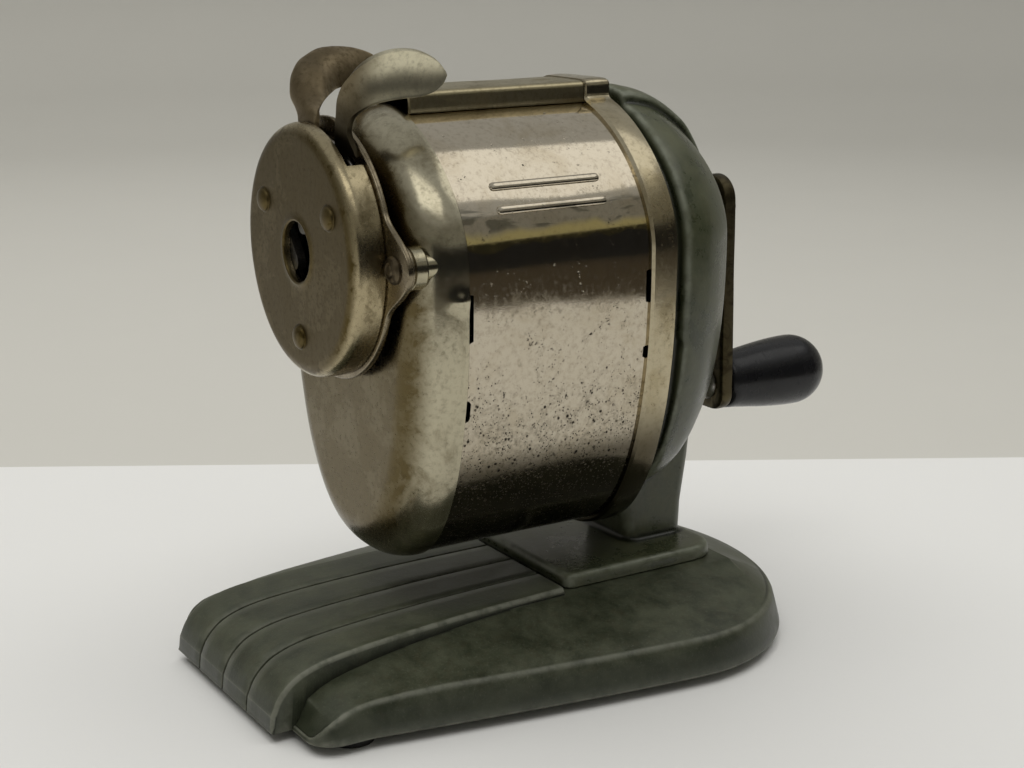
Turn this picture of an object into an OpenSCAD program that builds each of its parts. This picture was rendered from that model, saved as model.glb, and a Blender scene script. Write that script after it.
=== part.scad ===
// Crank pencil sharpener: streamlined cast base, cast gear case on a column, sheet-metal
// receptacle with a self-feeding three-jaw chuck in front, and a crank behind.
// X is to the right seen from the front, Y is to the back and Z is up.
// The origin is on the table, in the middle of the overall box. Units are millimetres.

/* [Overall] */
// Length from the nose of the base to the end of the handle
overall_len = 149; // [145:1:155]
// Height of the pencil axis above the table
axis_z = 85.7; // [82:0.1:90]

/* [Base] */
// Half the widest width of the base
base_half_w = 45.7; // [43:0.1:50]
// Height of the rubber feet below the casting
foot_h = 2; // [1.5:0.1:3]
// Height of the striped platform on the base
stripe_z = 15.8; // [15.5:0.1:17]
// Half the width of the striped platform at its nose
stripe_half_w = 23.4; // [21:0.1:25]
// Width of the grooves between the stripes
groove_w = 0.8; // [0.5:0.1:1.2]

/* [Receptacle] */
// Half the widest width of the drum
drum_half_w = 30.9; // [30.5:0.1:34]
// Height of the widest place of the drum
drum_mid_z = 84.7; // [82:0.1:88]
// Top of the drum
drum_top_z = 112.2; // [111:0.1:114]
// Bottom of the drum
drum_low_z = 23.3; // [22:0.1:26]
// Front face of the front cap
cap_y = -45.8; // [-47:0.1:-44]
// Seam between the front cap and the band
seam_y = -35.5; // [-37:0.1:-34]
// Front edge of the rear ring
ring_y = 4.1; // [2:0.1:6]
// Rear edge of the rear ring
ring_back_y = 10.2; // [9:0.1:10.3]
// Thickness of the sheet metal
sheet = 0.8; // [0.6:0.1:1]
// Half the width of the top bar
bar_half_w = 7.6; // [6:0.1:8]
// Top of the top bar
bar_top_z = 114.7; // [114:0.1:116]

/* [Chuck] */
// Radius of the dial
dial_r = 24; // [23:0.1:25]
// Front face of the dial
dial_y = -55.1; // [-56:0.1:-55]
// Radius of the pencil hole
hole_r = 5.7; // [4.5:0.1:6]
// Distance of each jaw pivot from the pencil axis
jaw_pivot_r = 16.3; // [15.5:0.1:17]
// Distance of each guide rod from the pencil axis
rod_x = 26.8; // [26:0.1:27]
// Radius of a guide rod
rod_r = 2; // [1.5:0.1:2.2]
// Radius of the opening left by the closed jaws
jaw_open_r = 3.2; // [2.9:0.1:3.6]

/* [Cutter head] */
// Teeth of the fixed ring gear
ring_teeth = 28; // [28:1:28]
// Teeth of each cutter pinion
pinion_teeth = 12; // [12:1:12]
// Tilt of each cutter axis towards the pencil point
cutter_tilt = 10.5; // [9.5:0.5:11]
// Radius of each helical cutter
cutter_r = 8.2; // [7.8:0.1:8.2]
// Flutes of each helical cutter
cutter_flutes = 12; // [9:1:14]

/* [Crank] */
// Distance from the crank shaft to the handle
crank_r = 39; // [37:0.5:41]
// Front face of the crank arm
arm_y = 41.5; // [41:0.1:43]
// Largest radius of the handle
knob_r = 7.8; // [7:0.1:8.5]

/* [Hidden] */
$fn = 64;
eps = 0.01;
fit = 0.05;
far = 200;

// Base
base_front_y = -overall_len / 2;
base_low_z = foot_h;
base_mid_y = 10.5;
base_tail_len = 37.5;
fender_front_y = -70.5;
fender_half_w = 35.3;
fender_corner_y = -60;
crease_z = 9.6;
deck_z = 14.4;
base_wall = 3;
foot_places = [[-29, -61], [29, -61], [-27, 32], [27, 32]];
foot_r = 4.5;
foot_hole_r = 1.6;
flange_screw_ys = [-2, 22];
flange_screw_r = 2;

// Flange and column of the gear case
flange_half_w = 18.9;
flange_front_y = -7.2;
flange_back_y = 31.4;
flange_h = 3;
column_half_w = 8.5;
dome_y = 10.7;
dome_low_z = 27;
boss_back_y = 38.4;

// Ring gear, cutters and crank shaft
module_mm = 1;
ring_pitch_r = ring_teeth * module_mm / 2;
pinion_pitch_r = pinion_teeth * module_mm / 2;
cutter_off = ring_pitch_r - pinion_pitch_r;
gear_y = 16;
gear_seat_r = 18;
shaft_r = 3;
bush_r = 4.5;
cutter_pin_r = 1.5;

// Chuck
plate_y = -48.6;
plate_t = 1.2;
dial_t = 1.2;
jaw_tip_r = 1.8;
jaw_tip_off = jaw_open_r + jaw_tip_r;
jaw_angles = [30, 150, 270];
right_stem_a = 30;
left_stem_a = -5;
stem_half_a = 9.3;
wing_travel = 7;
wing_t = 0.9;
right_wing_y = -50.6;
left_wing_y = -51.8;
right_leaf_x = 16;
left_leaf_x = -10.5;
bush_out_r = 3.9;
bush_front_y = -46.4;
bush_back_y = -38;
collar_back_y = -46.6;
rod_back_y = -1;

// Rivets of the top bar
rivet_ys = [seam_y + 5, ring_y - 5];
rivet_r = 1.2;
bar_sheet = 1;

// ---- shared shapes ----

// Extrudes a shape drawn in X and Z from y0 to y1
module along_y(y0, y1) {
    translate([0, y1, 0]) rotate([90, 0, 0]) linear_extrude(y1 - y0) children();
}

// Extrudes a shape drawn in Y and Z across X, from -half to half
module across_x(half) {
    translate([-half, 0, 0]) rotate([90, 0, 90]) linear_extrude(2 * half) children();
}

// A round bar along Y between y0 and y1, at x and z
module bar_y(x, z, y0, y1, r, r_back = -1) {
    translate([x, y1, z]) rotate([90, 0, 0])
        cylinder(h = y1 - y0, r1 = r_back < 0 ? r : r_back, r2 = r);
}

// Places something drawn about the pencil axis
module on_axis() {
    translate([0, 0, axis_z]) children();
}

// Outline of a bar with a round end of radius ra about a and one of radius rb about b
function capsule(a, ra, b, rb, steps = 12) =
    let (d = b - a, aim = atan2(d[1], d[0]), reach = acos((ra - rb) / norm(d)))
    concat([for (i = [0 : steps]) let (q = aim - reach + 2 * reach * i / steps)
                b + rb * [cos(q), sin(q)]],
           [for (i = [0 : steps]) let (q = aim + reach + (360 - 2 * reach) * i / steps)
                a + ra * [cos(q), sin(q)]]);

// The egg outline of the drum in X and Z, smaller by inset all round
function egg_point(a, inset, low_z) =
    let (c = cos(a), s = sin(a), power = s >= 0 ? 1.78 : 2.35,
         h = s >= 0 ? drum_top_z - drum_mid_z - inset : drum_mid_z - low_z - inset)
    [(drum_half_w - inset) * sign(c) * pow(abs(c), 2 / power),
     drum_mid_z + h * sign(s) * pow(abs(s), 2 / power)];

module egg(inset = 0, low_z = drum_low_z, steps = 60) {
    polygon([for (i = [0 : steps - 1]) egg_point(i * 360 / steps, inset, low_z)]);
}

// One thin slice of an egg-shaped shell at y
module egg_slice(y, inset, low_z = drum_low_z) {
    along_y(y, y + eps) egg(inset, low_z, 40);
}

// A rectangle with rounded corners from two corner points
module rounded_rect(low, high, r) {
    translate([low[0], low[1] + r]) square([high[0] - low[0], high[1] - low[1] - 2 * r]);
    translate([low[0] + r, low[1]]) square([high[0] - low[0] - 2 * r, high[1] - low[1]]);
    for (x = [low[0] + r, high[0] - r], y = [low[1] + r, high[1] - r])
        translate([x, y]) circle(r);
}

// ---- base ----

// Half the width of the base at y, in front of its widest place
function base_half(y) =
    let (t = (base_mid_y - y) / (base_mid_y - fender_corner_y))
    base_half_w - (base_half_w - fender_half_w) * pow(t, 1.25);

function base_side(inset) = concat(
    [for (a = [-90 : 15 : 0]) [fender_half_w - 5 - inset + 5 * cos(a),
                               fender_front_y + 6 + inset + 6 * sin(a)]],
    [for (y = [fender_corner_y : 10 : base_mid_y - 1]) [base_half(y) - inset, y]],
    [for (a = [0 : 7.5 : 90]) [(base_half_w - inset) * cos(a),
                               base_mid_y + (base_tail_len - inset) * sin(a)]]);

module base_plan(inset) {
    side = base_side(inset);
    polygon(concat(side, [for (i = [len(side) - 1 : -1 : 0]) [-side[i][0], side[i][1]]]));
}

// The two fenders and the tail: a drafted skirt under a sloping deck
module base_body(inset, top_drop) {
    hull() {
        translate([0, 0, base_low_z]) linear_extrude(eps) base_plan(inset);
        translate([0, 0, crease_z - 3.2 - top_drop]) linear_extrude(eps) base_plan(inset + 1);
        translate([0, 3, crease_z - top_drop]) linear_extrude(eps) base_plan(inset + 3.4);
        translate([-21, -42, deck_z - top_drop - eps]) linear_extrude(eps) square([42, 74 - inset]);
    }
}

// Side view of the striped platform: distance behind the nose and height below its highest part
stripe_line = [[1.5, 8.2], [2.9, 6.5], [5, 4.8], [7.5, 3.7], [10.5, 2.8], [14.5, 2.1],
               [21, 1.4], [28.5, 0.9], [35.5, 0.6], [41.5, 0.3]];

module stripe_side() {
    polygon(concat(
        [[base_front_y, base_low_z], [base_front_y + 0.4, base_low_z + 3]],
        [for (p = stripe_line) [base_front_y + p[0], stripe_z - p[1]]],
        [[-9, stripe_z], [-8, deck_z - 1], [-8, base_low_z]]));
}

module stripe_platform() {
    intersection() {
        across_x(stripe_half_w) stripe_side();
        linear_extrude(far)
            polygon([[-stripe_half_w, base_front_y - 1], [stripe_half_w, base_front_y - 1],
                     [20, 0], [-20, 0]]);
    }
}

module base() {
    color("darkslategray") difference() {
        union() {
            base_body(0, 0);
            stripe_platform();
        }
        // grooves between the four stripes
        for (i = [-1 : 1])
            translate([i * stripe_half_w / 2 - groove_w / 2, base_front_y - 1, 0])
                difference() {
                    cube([groove_w, far / 2 - 35, stripe_z + 1]);
                    translate([-1, 1.8, 0]) cube([groove_w + 2, far, 3]);
                    translate([stripe_half_w, 0, 0]) across_x(2 * stripe_half_w)
                            polygon(concat([[1.8, 0], [1.8, 4]],
                                [for (p = stripe_line) [p[0] + 1, stripe_z - p[1] - 0.9]],
                                [[far, stripe_z - 0.8], [far, 0]]));
                }
        // hollow underside
        difference() {
            base_body(base_wall + 1, base_wall);
            for (p = foot_places) translate([p[0], p[1], 0]) cylinder(h = far, r = foot_r + 1);
            for (y = flange_screw_ys) translate([0, y, 0]) cylinder(h = far, r = 6);
        }
        translate([-17, base_front_y + 8, base_low_z - 1]) cube([34, 16, 7]);
        for (p = foot_places)
            translate([p[0], p[1], base_low_z - 1]) cylinder(h = 5, r = foot_hole_r);
        for (y = flange_screw_ys) translate([0, y, 0]) {
            cylinder(h = far, r = flange_screw_r);
            cylinder(h = deck_z - 5, r = 4.2);
        }
    }
}

module base_feet() {
    color("black") for (p = foot_places) translate([p[0], p[1], 0]) difference() {
        union() {
            cylinder(h = base_low_z - 0.5, r1 = foot_r - 0.4, r2 = foot_r);
            translate([0, 0, base_low_z - 0.5]) cylinder(h = 0.5, r = foot_r);
        }
        translate([0, 0, -1]) cylinder(h = base_low_z + 2, r = foot_hole_r);
        translate([0, 0, -1]) cylinder(h = 1.8, r = 2.8);
    }
}

module foot_screws() {
    color("silver") for (p = foot_places) translate([p[0], p[1], 0]) difference() {
        union() {
            translate([0, 0, 0.4]) cylinder(h = base_low_z + 3, r = foot_hole_r);
            translate([0, 0, 0.2]) cylinder(h = 0.6, r = 2.6);
        }
        translate([-3, -0.3, 0]) cube([6, 0.6, 0.5]);
    }
}

module flange_screws() {
    color("silver") for (y = flange_screw_ys) translate([0, y, 0]) difference() {
        union() {
            translate([0, 0, deck_z - 7]) cylinder(h = 8.5, r = flange_screw_r);
            translate([0, 0, deck_z - 7.5]) cylinder(h = 2.5, r = 3.8);
        }
        translate([-5, -0.5, deck_z - 8]) cube([10, 1, 1.4]);
    }
}

// ---- gear case: dome, column and flange in one casting ----

module dome_shell(grow) {
    hull() {
        egg_slice(dome_y, 0.8 - grow, dome_low_z);
        egg_slice(dome_y + 5.7, 1.1 - grow, dome_low_z + 0.5);
        egg_slice(dome_y + 12.1, 3.6 - grow, dome_low_z + 1);
        egg_slice(dome_y + 17.6, 8.4 - grow, dome_low_z + 3);
        egg_slice(dome_y + 21.6, 15.4 - grow, dome_low_z + 8);
        egg_slice(dome_y + 24 + grow / 2, 23 - grow, dome_low_z + 12);
    }
}

module column() {
    across_x(column_half_w)
        polygon([[15, deck_z + 1], [29.2, deck_z + 1], [29.6, 24], [32.6, 44], [30, 62], [13, 62], [13, 30]]);
}

module flange() {
    translate([0, 0, deck_z]) linear_extrude(flange_h) {
        rounded_rect([-flange_half_w, flange_front_y + 6], [flange_half_w, flange_back_y], 6);
        rounded_rect([-flange_half_w, flange_front_y], [flange_half_w, flange_front_y + 20], 1.5);
    }
}

// Lip of the casting that the rear ring slides over
module register_lip() {
    along_y(7, dome_y + 1) difference() {
        egg(2.4, drum_low_z + 0.2);
        egg(4.4, drum_low_z + 0.2);
    }
}

module gear_case() {
    color("darkslategray") difference() {
        union() {
            dome_shell(0);
            intersection() {
                dome_shell(1.9);
                translate([-bar_half_w, dome_y, axis_z]) cube([2 * bar_half_w, 40, 40]);
            }
            column();
            flange();
            register_lip();
            bar_y(0, axis_z, 28, boss_back_y, 8);
        }
        on_axis() {
            bar_y(0, 0, dome_y - 5, gear_y - 2, 22);
            bar_y(0, 0, gear_y - 3, gear_y + 2, gear_seat_r);
            bar_y(0, 0, gear_y + 1, 25, 16);
            bar_y(0, 0, 20, boss_back_y + 1, bush_r);
        }
        for (y = flange_screw_ys)
            translate([0, y, deck_z - 1]) cylinder(h = 2.7, r = flange_screw_r);
    }
}

// ---- ring gear and cutter head ----

// Outline of a gear with straight-sided teeth between r_root and r_tip; pointing is the angle
// of the middle of one tooth, w_root and w_tip are the tooth's widths
function gear_outline(teeth, r_root, r_tip, w_root, w_tip, pointing) =
    [for (i = [0 : teeth - 1]) let (a = pointing + i * 360 / teeth)
        for (p = [[r_root, -w_root], [r_tip, -w_tip], [r_tip, w_tip], [r_root, w_root]])
            p[0] * [cos(a + p[1] / p[0] * 90 / PI), sin(a + p[1] / p[0] * 90 / PI)]];

module ring_gear() {
    color("dimgray") on_axis() along_y(gear_y - 2, gear_y + 2) difference() {
        circle(gear_seat_r);
        // each gap of the ring is a tooth of the shape cut out of it
        polygon(gear_outline(ring_teeth, ring_pitch_r - 0.75, ring_pitch_r + 1.5, 2.3, 1.5, 0));
    }
}

module pinion_shape() {
    polygon(gear_outline(pinion_teeth, pinion_pitch_r - 1.2, pinion_pitch_r + 0.8, 1.6, 0.6, 0));
}

// Places a cutter drawn along +Z from its pinion towards the pencil; side is 1 right, -1 left
module cutter_place(side) {
    translate([side * cutter_off, gear_y, axis_z]) rotate([90, 0, side * cutter_tilt]) children();
}

module cutter(side) {
    flutes_len = 24;
    cutter_place(side) difference() {
        union() {
            translate([0, 0, -0.3]) linear_extrude(3) rotate(side > 0 ? 0 : 180) pinion_shape();
            translate([0, 0, 2.6]) cylinder(h = 1.2, r = 4.6);
            translate([0, 0, 3.7]) cylinder(h = flutes_len, r = cutter_r - 1);
            translate([0, 0, 3.7]) linear_extrude(flutes_len, twist = 110, slices = 14, $fn = 6)
                for (i = [0 : cutter_flutes - 1]) rotate(i * 360 / cutter_flutes)
                    polygon([[cutter_r - 1.6, -1.1], [cutter_r, -0.1],
                             [cutter_r, 0.15], [cutter_r - 1.6, 1.1]]);
        }
        translate([0, 0, -5]) cylinder(h = 50, r = cutter_pin_r + fit);
    }
}

module cutter_right() {
    color("gray") cutter(1);
}

module cutter_left() {
    color("gray") cutter(-1);
}

module cutter_pins() {
    color("silver") for (side = [-1, 1]) cutter_place(side)
        translate([0, 0, -6.4]) cylinder(h = 40.8, r = cutter_pin_r);
}

module cutter_carrier() {
    front_y = -18.2;
    color("slategray") difference() {
        union() {
            on_axis() {
                bar_y(0, 0, front_y, -14.2, 19);
                bar_y(0, 0, 19.4, 22.6, 12);
                bar_y(0, 0, 22.5, 23.8, 6);
            }
            for (s = [-1, 1]) translate([-4, -14.3, axis_z + (s > 0 ? 9.2 : -12)]) cube([8, 33.8, 2.8]);
        }
        on_axis() {
            bar_y(0, 0, front_y - 1, -14, 5.9);
            bar_y(0, 0, 18, 24, shaft_r);
        }
        for (side = [-1, 1]) cutter_place(side)
            translate([0, 0, -6.6]) cylinder(h = 50, r = cutter_pin_r);
    }
}

module shaft_bush() {
    color("darkgoldenrod") on_axis() difference() {
        bar_y(0, 0, 25.4, boss_back_y, bush_r);
        bar_y(0, 0, 25, boss_back_y + 1, shaft_r + fit);
    }
}

module thrust_washer() {
    color("silver") on_axis() difference() {
        bar_y(0, 0, 24, 24.8, 6);
        bar_y(0, 0, 23, 26, shaft_r);
    }
}

// ---- crank ----

module crank_shaft() {
    color("gray") on_axis() {
        bar_y(0, 0, 19.5, arm_y + 3, shaft_r);
        bar_y(0, 0, boss_back_y + 0.3, arm_y, 4.8);
    }
}

module crank_arm() {
    end_z = axis_z - crank_r;
    hub_r = 5.3;
    end_r = 5.6;
    hub_z = axis_z + 1.7;
    web = 1.2;
    rim = 1.3;
    depth = 3;
    color("dimgray") difference() {
        along_y(arm_y, arm_y + depth)
            polygon(capsule([0, hub_z], hub_r, [0, end_z], end_r));
        along_y(arm_y + web, arm_y + depth + 1)
            polygon(capsule([0, hub_z], hub_r - rim, [0, end_z], end_r - rim));
        bar_y(0, axis_z, arm_y - 1, arm_y + depth, shaft_r);
        bar_y(0, end_z, arm_y - 1, arm_y + depth, 2);
    }
}

module crank_washer() {
    color("silver") on_axis() difference() {
        bar_y(0, 0, arm_y + 1.2, arm_y + 1.8, 3.9);
        bar_y(0, 0, arm_y, arm_y + 3, shaft_r);
    }
}

module crank_nut() {
    color("silver") on_axis() difference() {
        union() {
            translate([0, arm_y + 4.4, 0]) rotate([90, 0, 0]) cylinder(h = 2.6, r = 3.9, $fn = 6);
            bar_y(0, 0, arm_y + 4.4, arm_y + 5, 2.6);
        }
        bar_y(0, 0, arm_y + 1, arm_y + 3, shaft_r);
    }
}

module handle_pin() {
    color("silver") translate([0, 0, axis_z - crank_r]) {
        bar_y(0, 0, arm_y - 0.2, overall_len / 2 - 3, 2);
        bar_y(0, 0, arm_y - 1.4, arm_y, 3.4);
        bar_y(0, 0, arm_y + 1.2, arm_y + 3.1, 3.6);
    }
}

// Handle outline as [distance from its start, radius]
module handle_knob() {
    start_y = arm_y + 3.3;
    len = overall_len / 2 - start_y;
    color("black") translate([0, start_y, axis_z - crank_r]) rotate([-90, 0, 0]) difference() {
        rotate_extrude() polygon(concat(
            [[0, 0], [5.2, 0], [5.9, 0.5], [6.1, 1.4]],
            [for (t = [0.1 : 0.1 : 0.9]) [6.1 + (knob_r - 6.1) * (1 - cos(180 * t)) / 2,
                                          1.4 + t * (len - 9.2)]],
            [for (a = [0 : 10 : 90]) [knob_r * cos(a), len - knob_r + knob_r * sin(a)]]));
        translate([0, 0, -1]) cylinder(h = len - 1.5, r = 2 + fit);
    }
}

// ---- receptacle ----

module cap_shell(inset) {
    hull() {
        egg_slice(seam_y - eps, inset);
        egg_slice(seam_y - 4.5, inset + 0.8);
        egg_slice(seam_y - 7.8, inset + 3.2);
        egg_slice(cap_y + 0.7 + inset, inset + 6);
        egg_slice(cap_y + inset, inset + 9);
    }
}

module front_cap() {
    color("tan") difference() {
        cap_shell(0);
        cap_shell(sheet);
        on_axis() {
            bar_y(0, 0, cap_y - 1, seam_y, 8.4);
            for (s = [-1, 1]) bar_y(s * rod_x, 0, cap_y - 2, bush_back_y, bush_out_r);
        }
    }
}

module receptacle_band() {
    color("silver") {
        along_y(seam_y, ring_y) difference() {
            egg(0);
            egg(sheet);
        }
        // stake bumps that hold the band in the cap and the ring
        for (s = [-1, 1], y = [seam_y + 1, ring_y - 1])
            translate([s * (drum_half_w - 0.75), y, 79.5]) sphere(r = 1.4, $fn = 24);
    }
}

// Two plain raised bars on the side of the band
module band_trim() {
    color("silver") for (s = [-1, 1]) intersection() {
        along_y(seam_y, ring_y) difference() {
            egg(-0.5);
            egg(0);
        }
        union() for (z = [94.5, 98.5])
            translate([s > 0 ? 0 : -far, 0, 0]) rotate([90, 0, 90]) linear_extrude(far)
                rounded_rect([-28, z - 0.8], [-4, z + 0.8], 0.75);
    }
}

module rear_ring() {
    color("tan") along_y(ring_y, ring_back_y) difference() {
        union() {
            egg(-0.8);
            translate([-bar_half_w - 1.2, drum_top_z - 6])
                square([2 * bar_half_w + 2.4, bar_top_z + 0.9 - drum_top_z + 6]);
        }
        egg(1);
        translate([-bar_half_w, 90]) square([2 * bar_half_w, bar_top_z - 90]);
    }
}

module top_bar() {
    color("tan") difference() {
        bar_channel();
        for (y = rivet_ys)
            translate([0, y, bar_top_z - 2 * bar_sheet]) cylinder(h = 2 * bar_sheet + 1, r = rivet_r);
    }
}

module bar_channel() {
    along_y(seam_y + 1, ring_back_y) difference() {
        translate([-bar_half_w, drum_top_z - 3.6]) square([2 * bar_half_w, bar_top_z - drum_top_z + 3.6]);
        translate([-bar_half_w + bar_sheet, 0]) square([2 * (bar_half_w - bar_sheet), bar_top_z - bar_sheet]);
        egg(0);
    }
}

module bar_rivets() {
    color("silver") for (y = rivet_ys)
        translate([0, y, bar_top_z - bar_sheet]) {
            cylinder(h = bar_sheet, r = rivet_r);
            translate([0, 0, bar_sheet]) cylinder(h = 0.6, r1 = 2.1, r2 = 1.5);
        }
}

module rod_bushings() {
    color("tan") on_axis() for (s = [-1, 1]) difference() {
        bar_y(s * rod_x, 0, bush_front_y, bush_back_y, bush_out_r);
        bar_y(s * rod_x, 0, plate_y, seam_y, rod_r + fit);
    }
}

// ---- chuck ----

module guide_rods() {
    color("silver") on_axis() for (s = [-1, 1]) {
        bar_y(s * rod_x, 0, plate_y - 0.2, rod_back_y, rod_r);
        bar_y(s * rod_x, 0, plate_y - 1.2, plate_y, 2.6);
    }
}

module rod_stops() {
    color("silver") on_axis() for (s = [-1, 1])
        bar_y(s * rod_x, 0, rod_back_y, rod_back_y + 1.2, 2.8);
}

// A coil spring along Y about a guide rod
module feed_spring(side) {
    turns = 10;
    seg = 14;
    sides = 6;
    y0 = bush_back_y + 0.6;
    y1 = rod_back_y - 0.5;
    r = 2.52;
    wire = 0.28;
    n = turns * seg;
    pts = [for (i = [0 : n]) let (a = i * 360 / seg, y = y0 + (y1 - y0) * i / n)
        for (j = [0 : sides - 1]) let (b = j * 360 / sides, q = r + wire * cos(b))
            [side * rod_x + q * cos(a), y + wire * sin(b), axis_z + q * sin(a)]];
    skin = [for (i = [0 : n - 1], j = [0 : sides - 1]) let (k = (j + 1) % sides)
        [i * sides + j, i * sides + k, (i + 1) * sides + k, (i + 1) * sides + j]];
    color("silver") polyhedron(pts, concat(skin,
        [[for (j = [sides - 1 : -1 : 0]) j], [for (j = [0 : sides - 1]) n * sides + j]]));
}

module feed_spring_right() {
    feed_spring(1);
}

module feed_spring_left() {
    feed_spring(-1);
}

// Sector of a ring between two angles, measured from straight up towards +X
module rim_slot(from_a, to_a, y0, y1) {
    on_axis() along_y(y0, y1) polygon(concat([[0, 0]],
        [for (i = [0 : 6]) let (a = from_a + (to_a - from_a) * i / 6) 40 * [sin(a), cos(a)]]));
}

module dial_cap() {
    rim_y = plate_y;
    fillet = 1.8;
    color("tan") difference() {
        union() {
            on_axis() translate([0, rim_y, 0]) rotate([90, 0, 0]) rotate_extrude($fn = 96) polygon(concat(
                [[0, 0], [dial_r, 0]],
                [for (a = [0 : 15 : 90]) [dial_r - fillet + fillet * cos(a),
                                          rim_y - dial_y - fillet + fillet * sin(a)]],
                [[0, rim_y - dial_y]]));
            for (a = jaw_angles) on_axis()
                translate([jaw_pivot_r * cos(a), dial_y + 1.8, jaw_pivot_r * sin(a)])
                sphere(r = 3, $fn = 32);
        }
        on_axis() bar_y(0, 0, dial_y + dial_t, 0, dial_r - 1);
        on_axis() bar_y(0, 0, dial_y - 1, 0, hole_r);
        rim_slot(left_stem_a - stem_half_a - 1.5, right_stem_a + stem_half_a + 1.5, left_wing_y - 0.5, 0);
    }
}

module chuck_plate() {
    back_y = plate_y + plate_t;
    color("tan") on_axis() difference() {
        union() {
            bar_y(0, 0, plate_y, back_y, dial_r + 0.9);
            for (s = [-1, 1]) {
                bar_y(s * rod_x, 0, plate_y, back_y, 5.2);
                bar_y(s * rod_x, 0, plate_y, collar_back_y, 4.4);
                along_y(plate_y, back_y)
                    polygon([[s * 22.5, 9.6], [s * 22.5, -9.6], [s * 27.5, -5.1], [s * 27.5, 5.1]]);
            }
        }
        bar_y(0, 0, plate_y - 1, back_y + 1, 7.2);
        for (s = [-1, 1]) bar_y(s * rod_x, 0, plate_y - 1, collar_back_y + 1, rod_r);
    }
}

module guide_tube() {
    color("gray") on_axis() difference() {
        union() {
            bar_y(0, 0, plate_y, -24, 7.2);
            bar_y(0, 0, plate_y + plate_t, plate_y + plate_t + 0.6, 8);
        }
        bar_y(0, 0, plate_y - 1, -23, 6.2);
    }
}

// The thumb leaf of a wing in its place: a bent sheet with an oval outline; side is 1 right, -1 left
module wing_leaf(y0, side, leaf_x) {
    bend_r = 13;
    leaf_z = 33.2;
    intersection() {
        translate([leaf_x - side * bend_r, 0, 0]) along_y(y0, y0 + 21) difference() {
            translate([0, leaf_z - 1]) circle(bend_r);
            translate([0, leaf_z - 1]) circle(bend_r - wing_t);
        }
        translate([side > 0 ? 0 : -far, 0, 0]) rotate([90, 0, 90]) linear_extrude(far)
            translate([y0 + 8.6, leaf_z]) rotate(7) scale([1, 0.42]) circle(10.2);
    }
}

// Point at radius r and at an angle measured from straight up towards +X
function clock(r, a) = r * [sin(a), cos(a)];

// A wing: slotted ring about the pencil axis, a stem out through the dial and a curved thumb leaf
module wing(y0, stem_a, side, leaf_x) {
    inner_a = stem_a - side * stem_half_a;
    outer_a = stem_a + side * stem_half_a;
    ring_r = 22.4;
    jaw_slot_a = 9;
    jaw_slot_r = 1.7;
    color("tan") on_axis() {
        along_y(y0, y0 + wing_t) difference() {
            circle(ring_r);
            circle(8.4);
            for (a = jaw_angles) rotate(a) for (b = [-jaw_slot_a, jaw_slot_a]) rotate(b)
                translate([jaw_pivot_r, 0]) circle(jaw_slot_r);
            for (a = jaw_angles) intersection() {
                difference() {
                    circle(jaw_pivot_r + jaw_slot_r);
                    circle(jaw_pivot_r - jaw_slot_r);
                }
                polygon(concat([[0, 0]], [for (b = [-jaw_slot_a, 0, jaw_slot_a]) clock(40, 90 - a - b)]));
            }
        }
        along_y(y0, y0 + wing_t) polygon([
            clock(ring_r - 0.4, inner_a),
            clock(25.4, inner_a),
            [leaf_x - side * 4.6, 29.8],
            [leaf_x - side * 1.4, 33.5],
            [leaf_x - side * 0.2, 33.5],
            [leaf_x - side * 0.6, 28.6],
            clock(25.4, outer_a),
            clock(ring_r - 0.4, outer_a)]);
        wing_leaf(y0, side, leaf_x);
    }
}

module wing_right() {
    wing(right_wing_y, right_stem_a, 1, right_leaf_x);
}

module wing_left() {
    wing(left_wing_y, left_stem_a, -1, left_leaf_x);
}

module wing_spring() {
    color("silver") on_axis() translate([0, -49.2, 0]) rotate([90, 0, 0])
        rotate_extrude(angle = 300) translate([21, 0]) circle(0.4, $fn = 16);
}

// One jaw: pivots on its pin and reaches sideways past the pencil
module jaw(a) {
    tip = jaw_tip_off * [cos(60), sin(60)];
    heel = [jaw_pivot_r, 0];
    color("dimgray") on_axis() rotate([0, -a, 0]) along_y(-53.8, -52.1) difference() {
        polygon(capsule(heel, 2.9, tip, jaw_tip_r));
        translate(heel) circle(1.35);
    }
}

module jaw_top_right() {
    jaw(jaw_angles[0]);
}

module jaw_top_left() {
    jaw(jaw_angles[1]);
}

module jaw_bottom() {
    jaw(jaw_angles[2]);
}

module jaw_pins() {
    color("silver") on_axis() for (a = jaw_angles)
        bar_y(jaw_pivot_r * cos(a), jaw_pivot_r * sin(a), dial_y + dial_t, plate_y, 1.3);
}

// ---- nodes ----

base();
base_feet();
foot_screws();
flange_screws();
gear_case();
ring_gear();
shaft_bush();
crank_shaft();
thrust_washer();
cutter_carrier();
cutter_right();
cutter_left();
cutter_pins();
crank_arm();
crank_washer();
crank_nut();
handle_pin();
handle_knob();
front_cap();
receptacle_band();
band_trim();
rear_ring();
top_bar();
bar_rivets();
rod_bushings();
guide_rods();
rod_stops();
feed_spring_right();
feed_spring_left();
dial_cap();
chuck_plate();
guide_tube();
wing_right();
wing_left();
wing_spring();
jaw_top_right();
jaw_top_left();
jaw_bottom();
jaw_pins();
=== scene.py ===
"""Looks of a crank pencil sharpener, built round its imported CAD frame.

Lengths in this file are millimetres unless a name says otherwise; build() turns them into metres.
X is to the right seen from the front, Y is to the back and Z is up.
"""
import math

import bmesh
import bpy
import numpy as np
from mathutils import Matrix, Vector, noise


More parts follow.
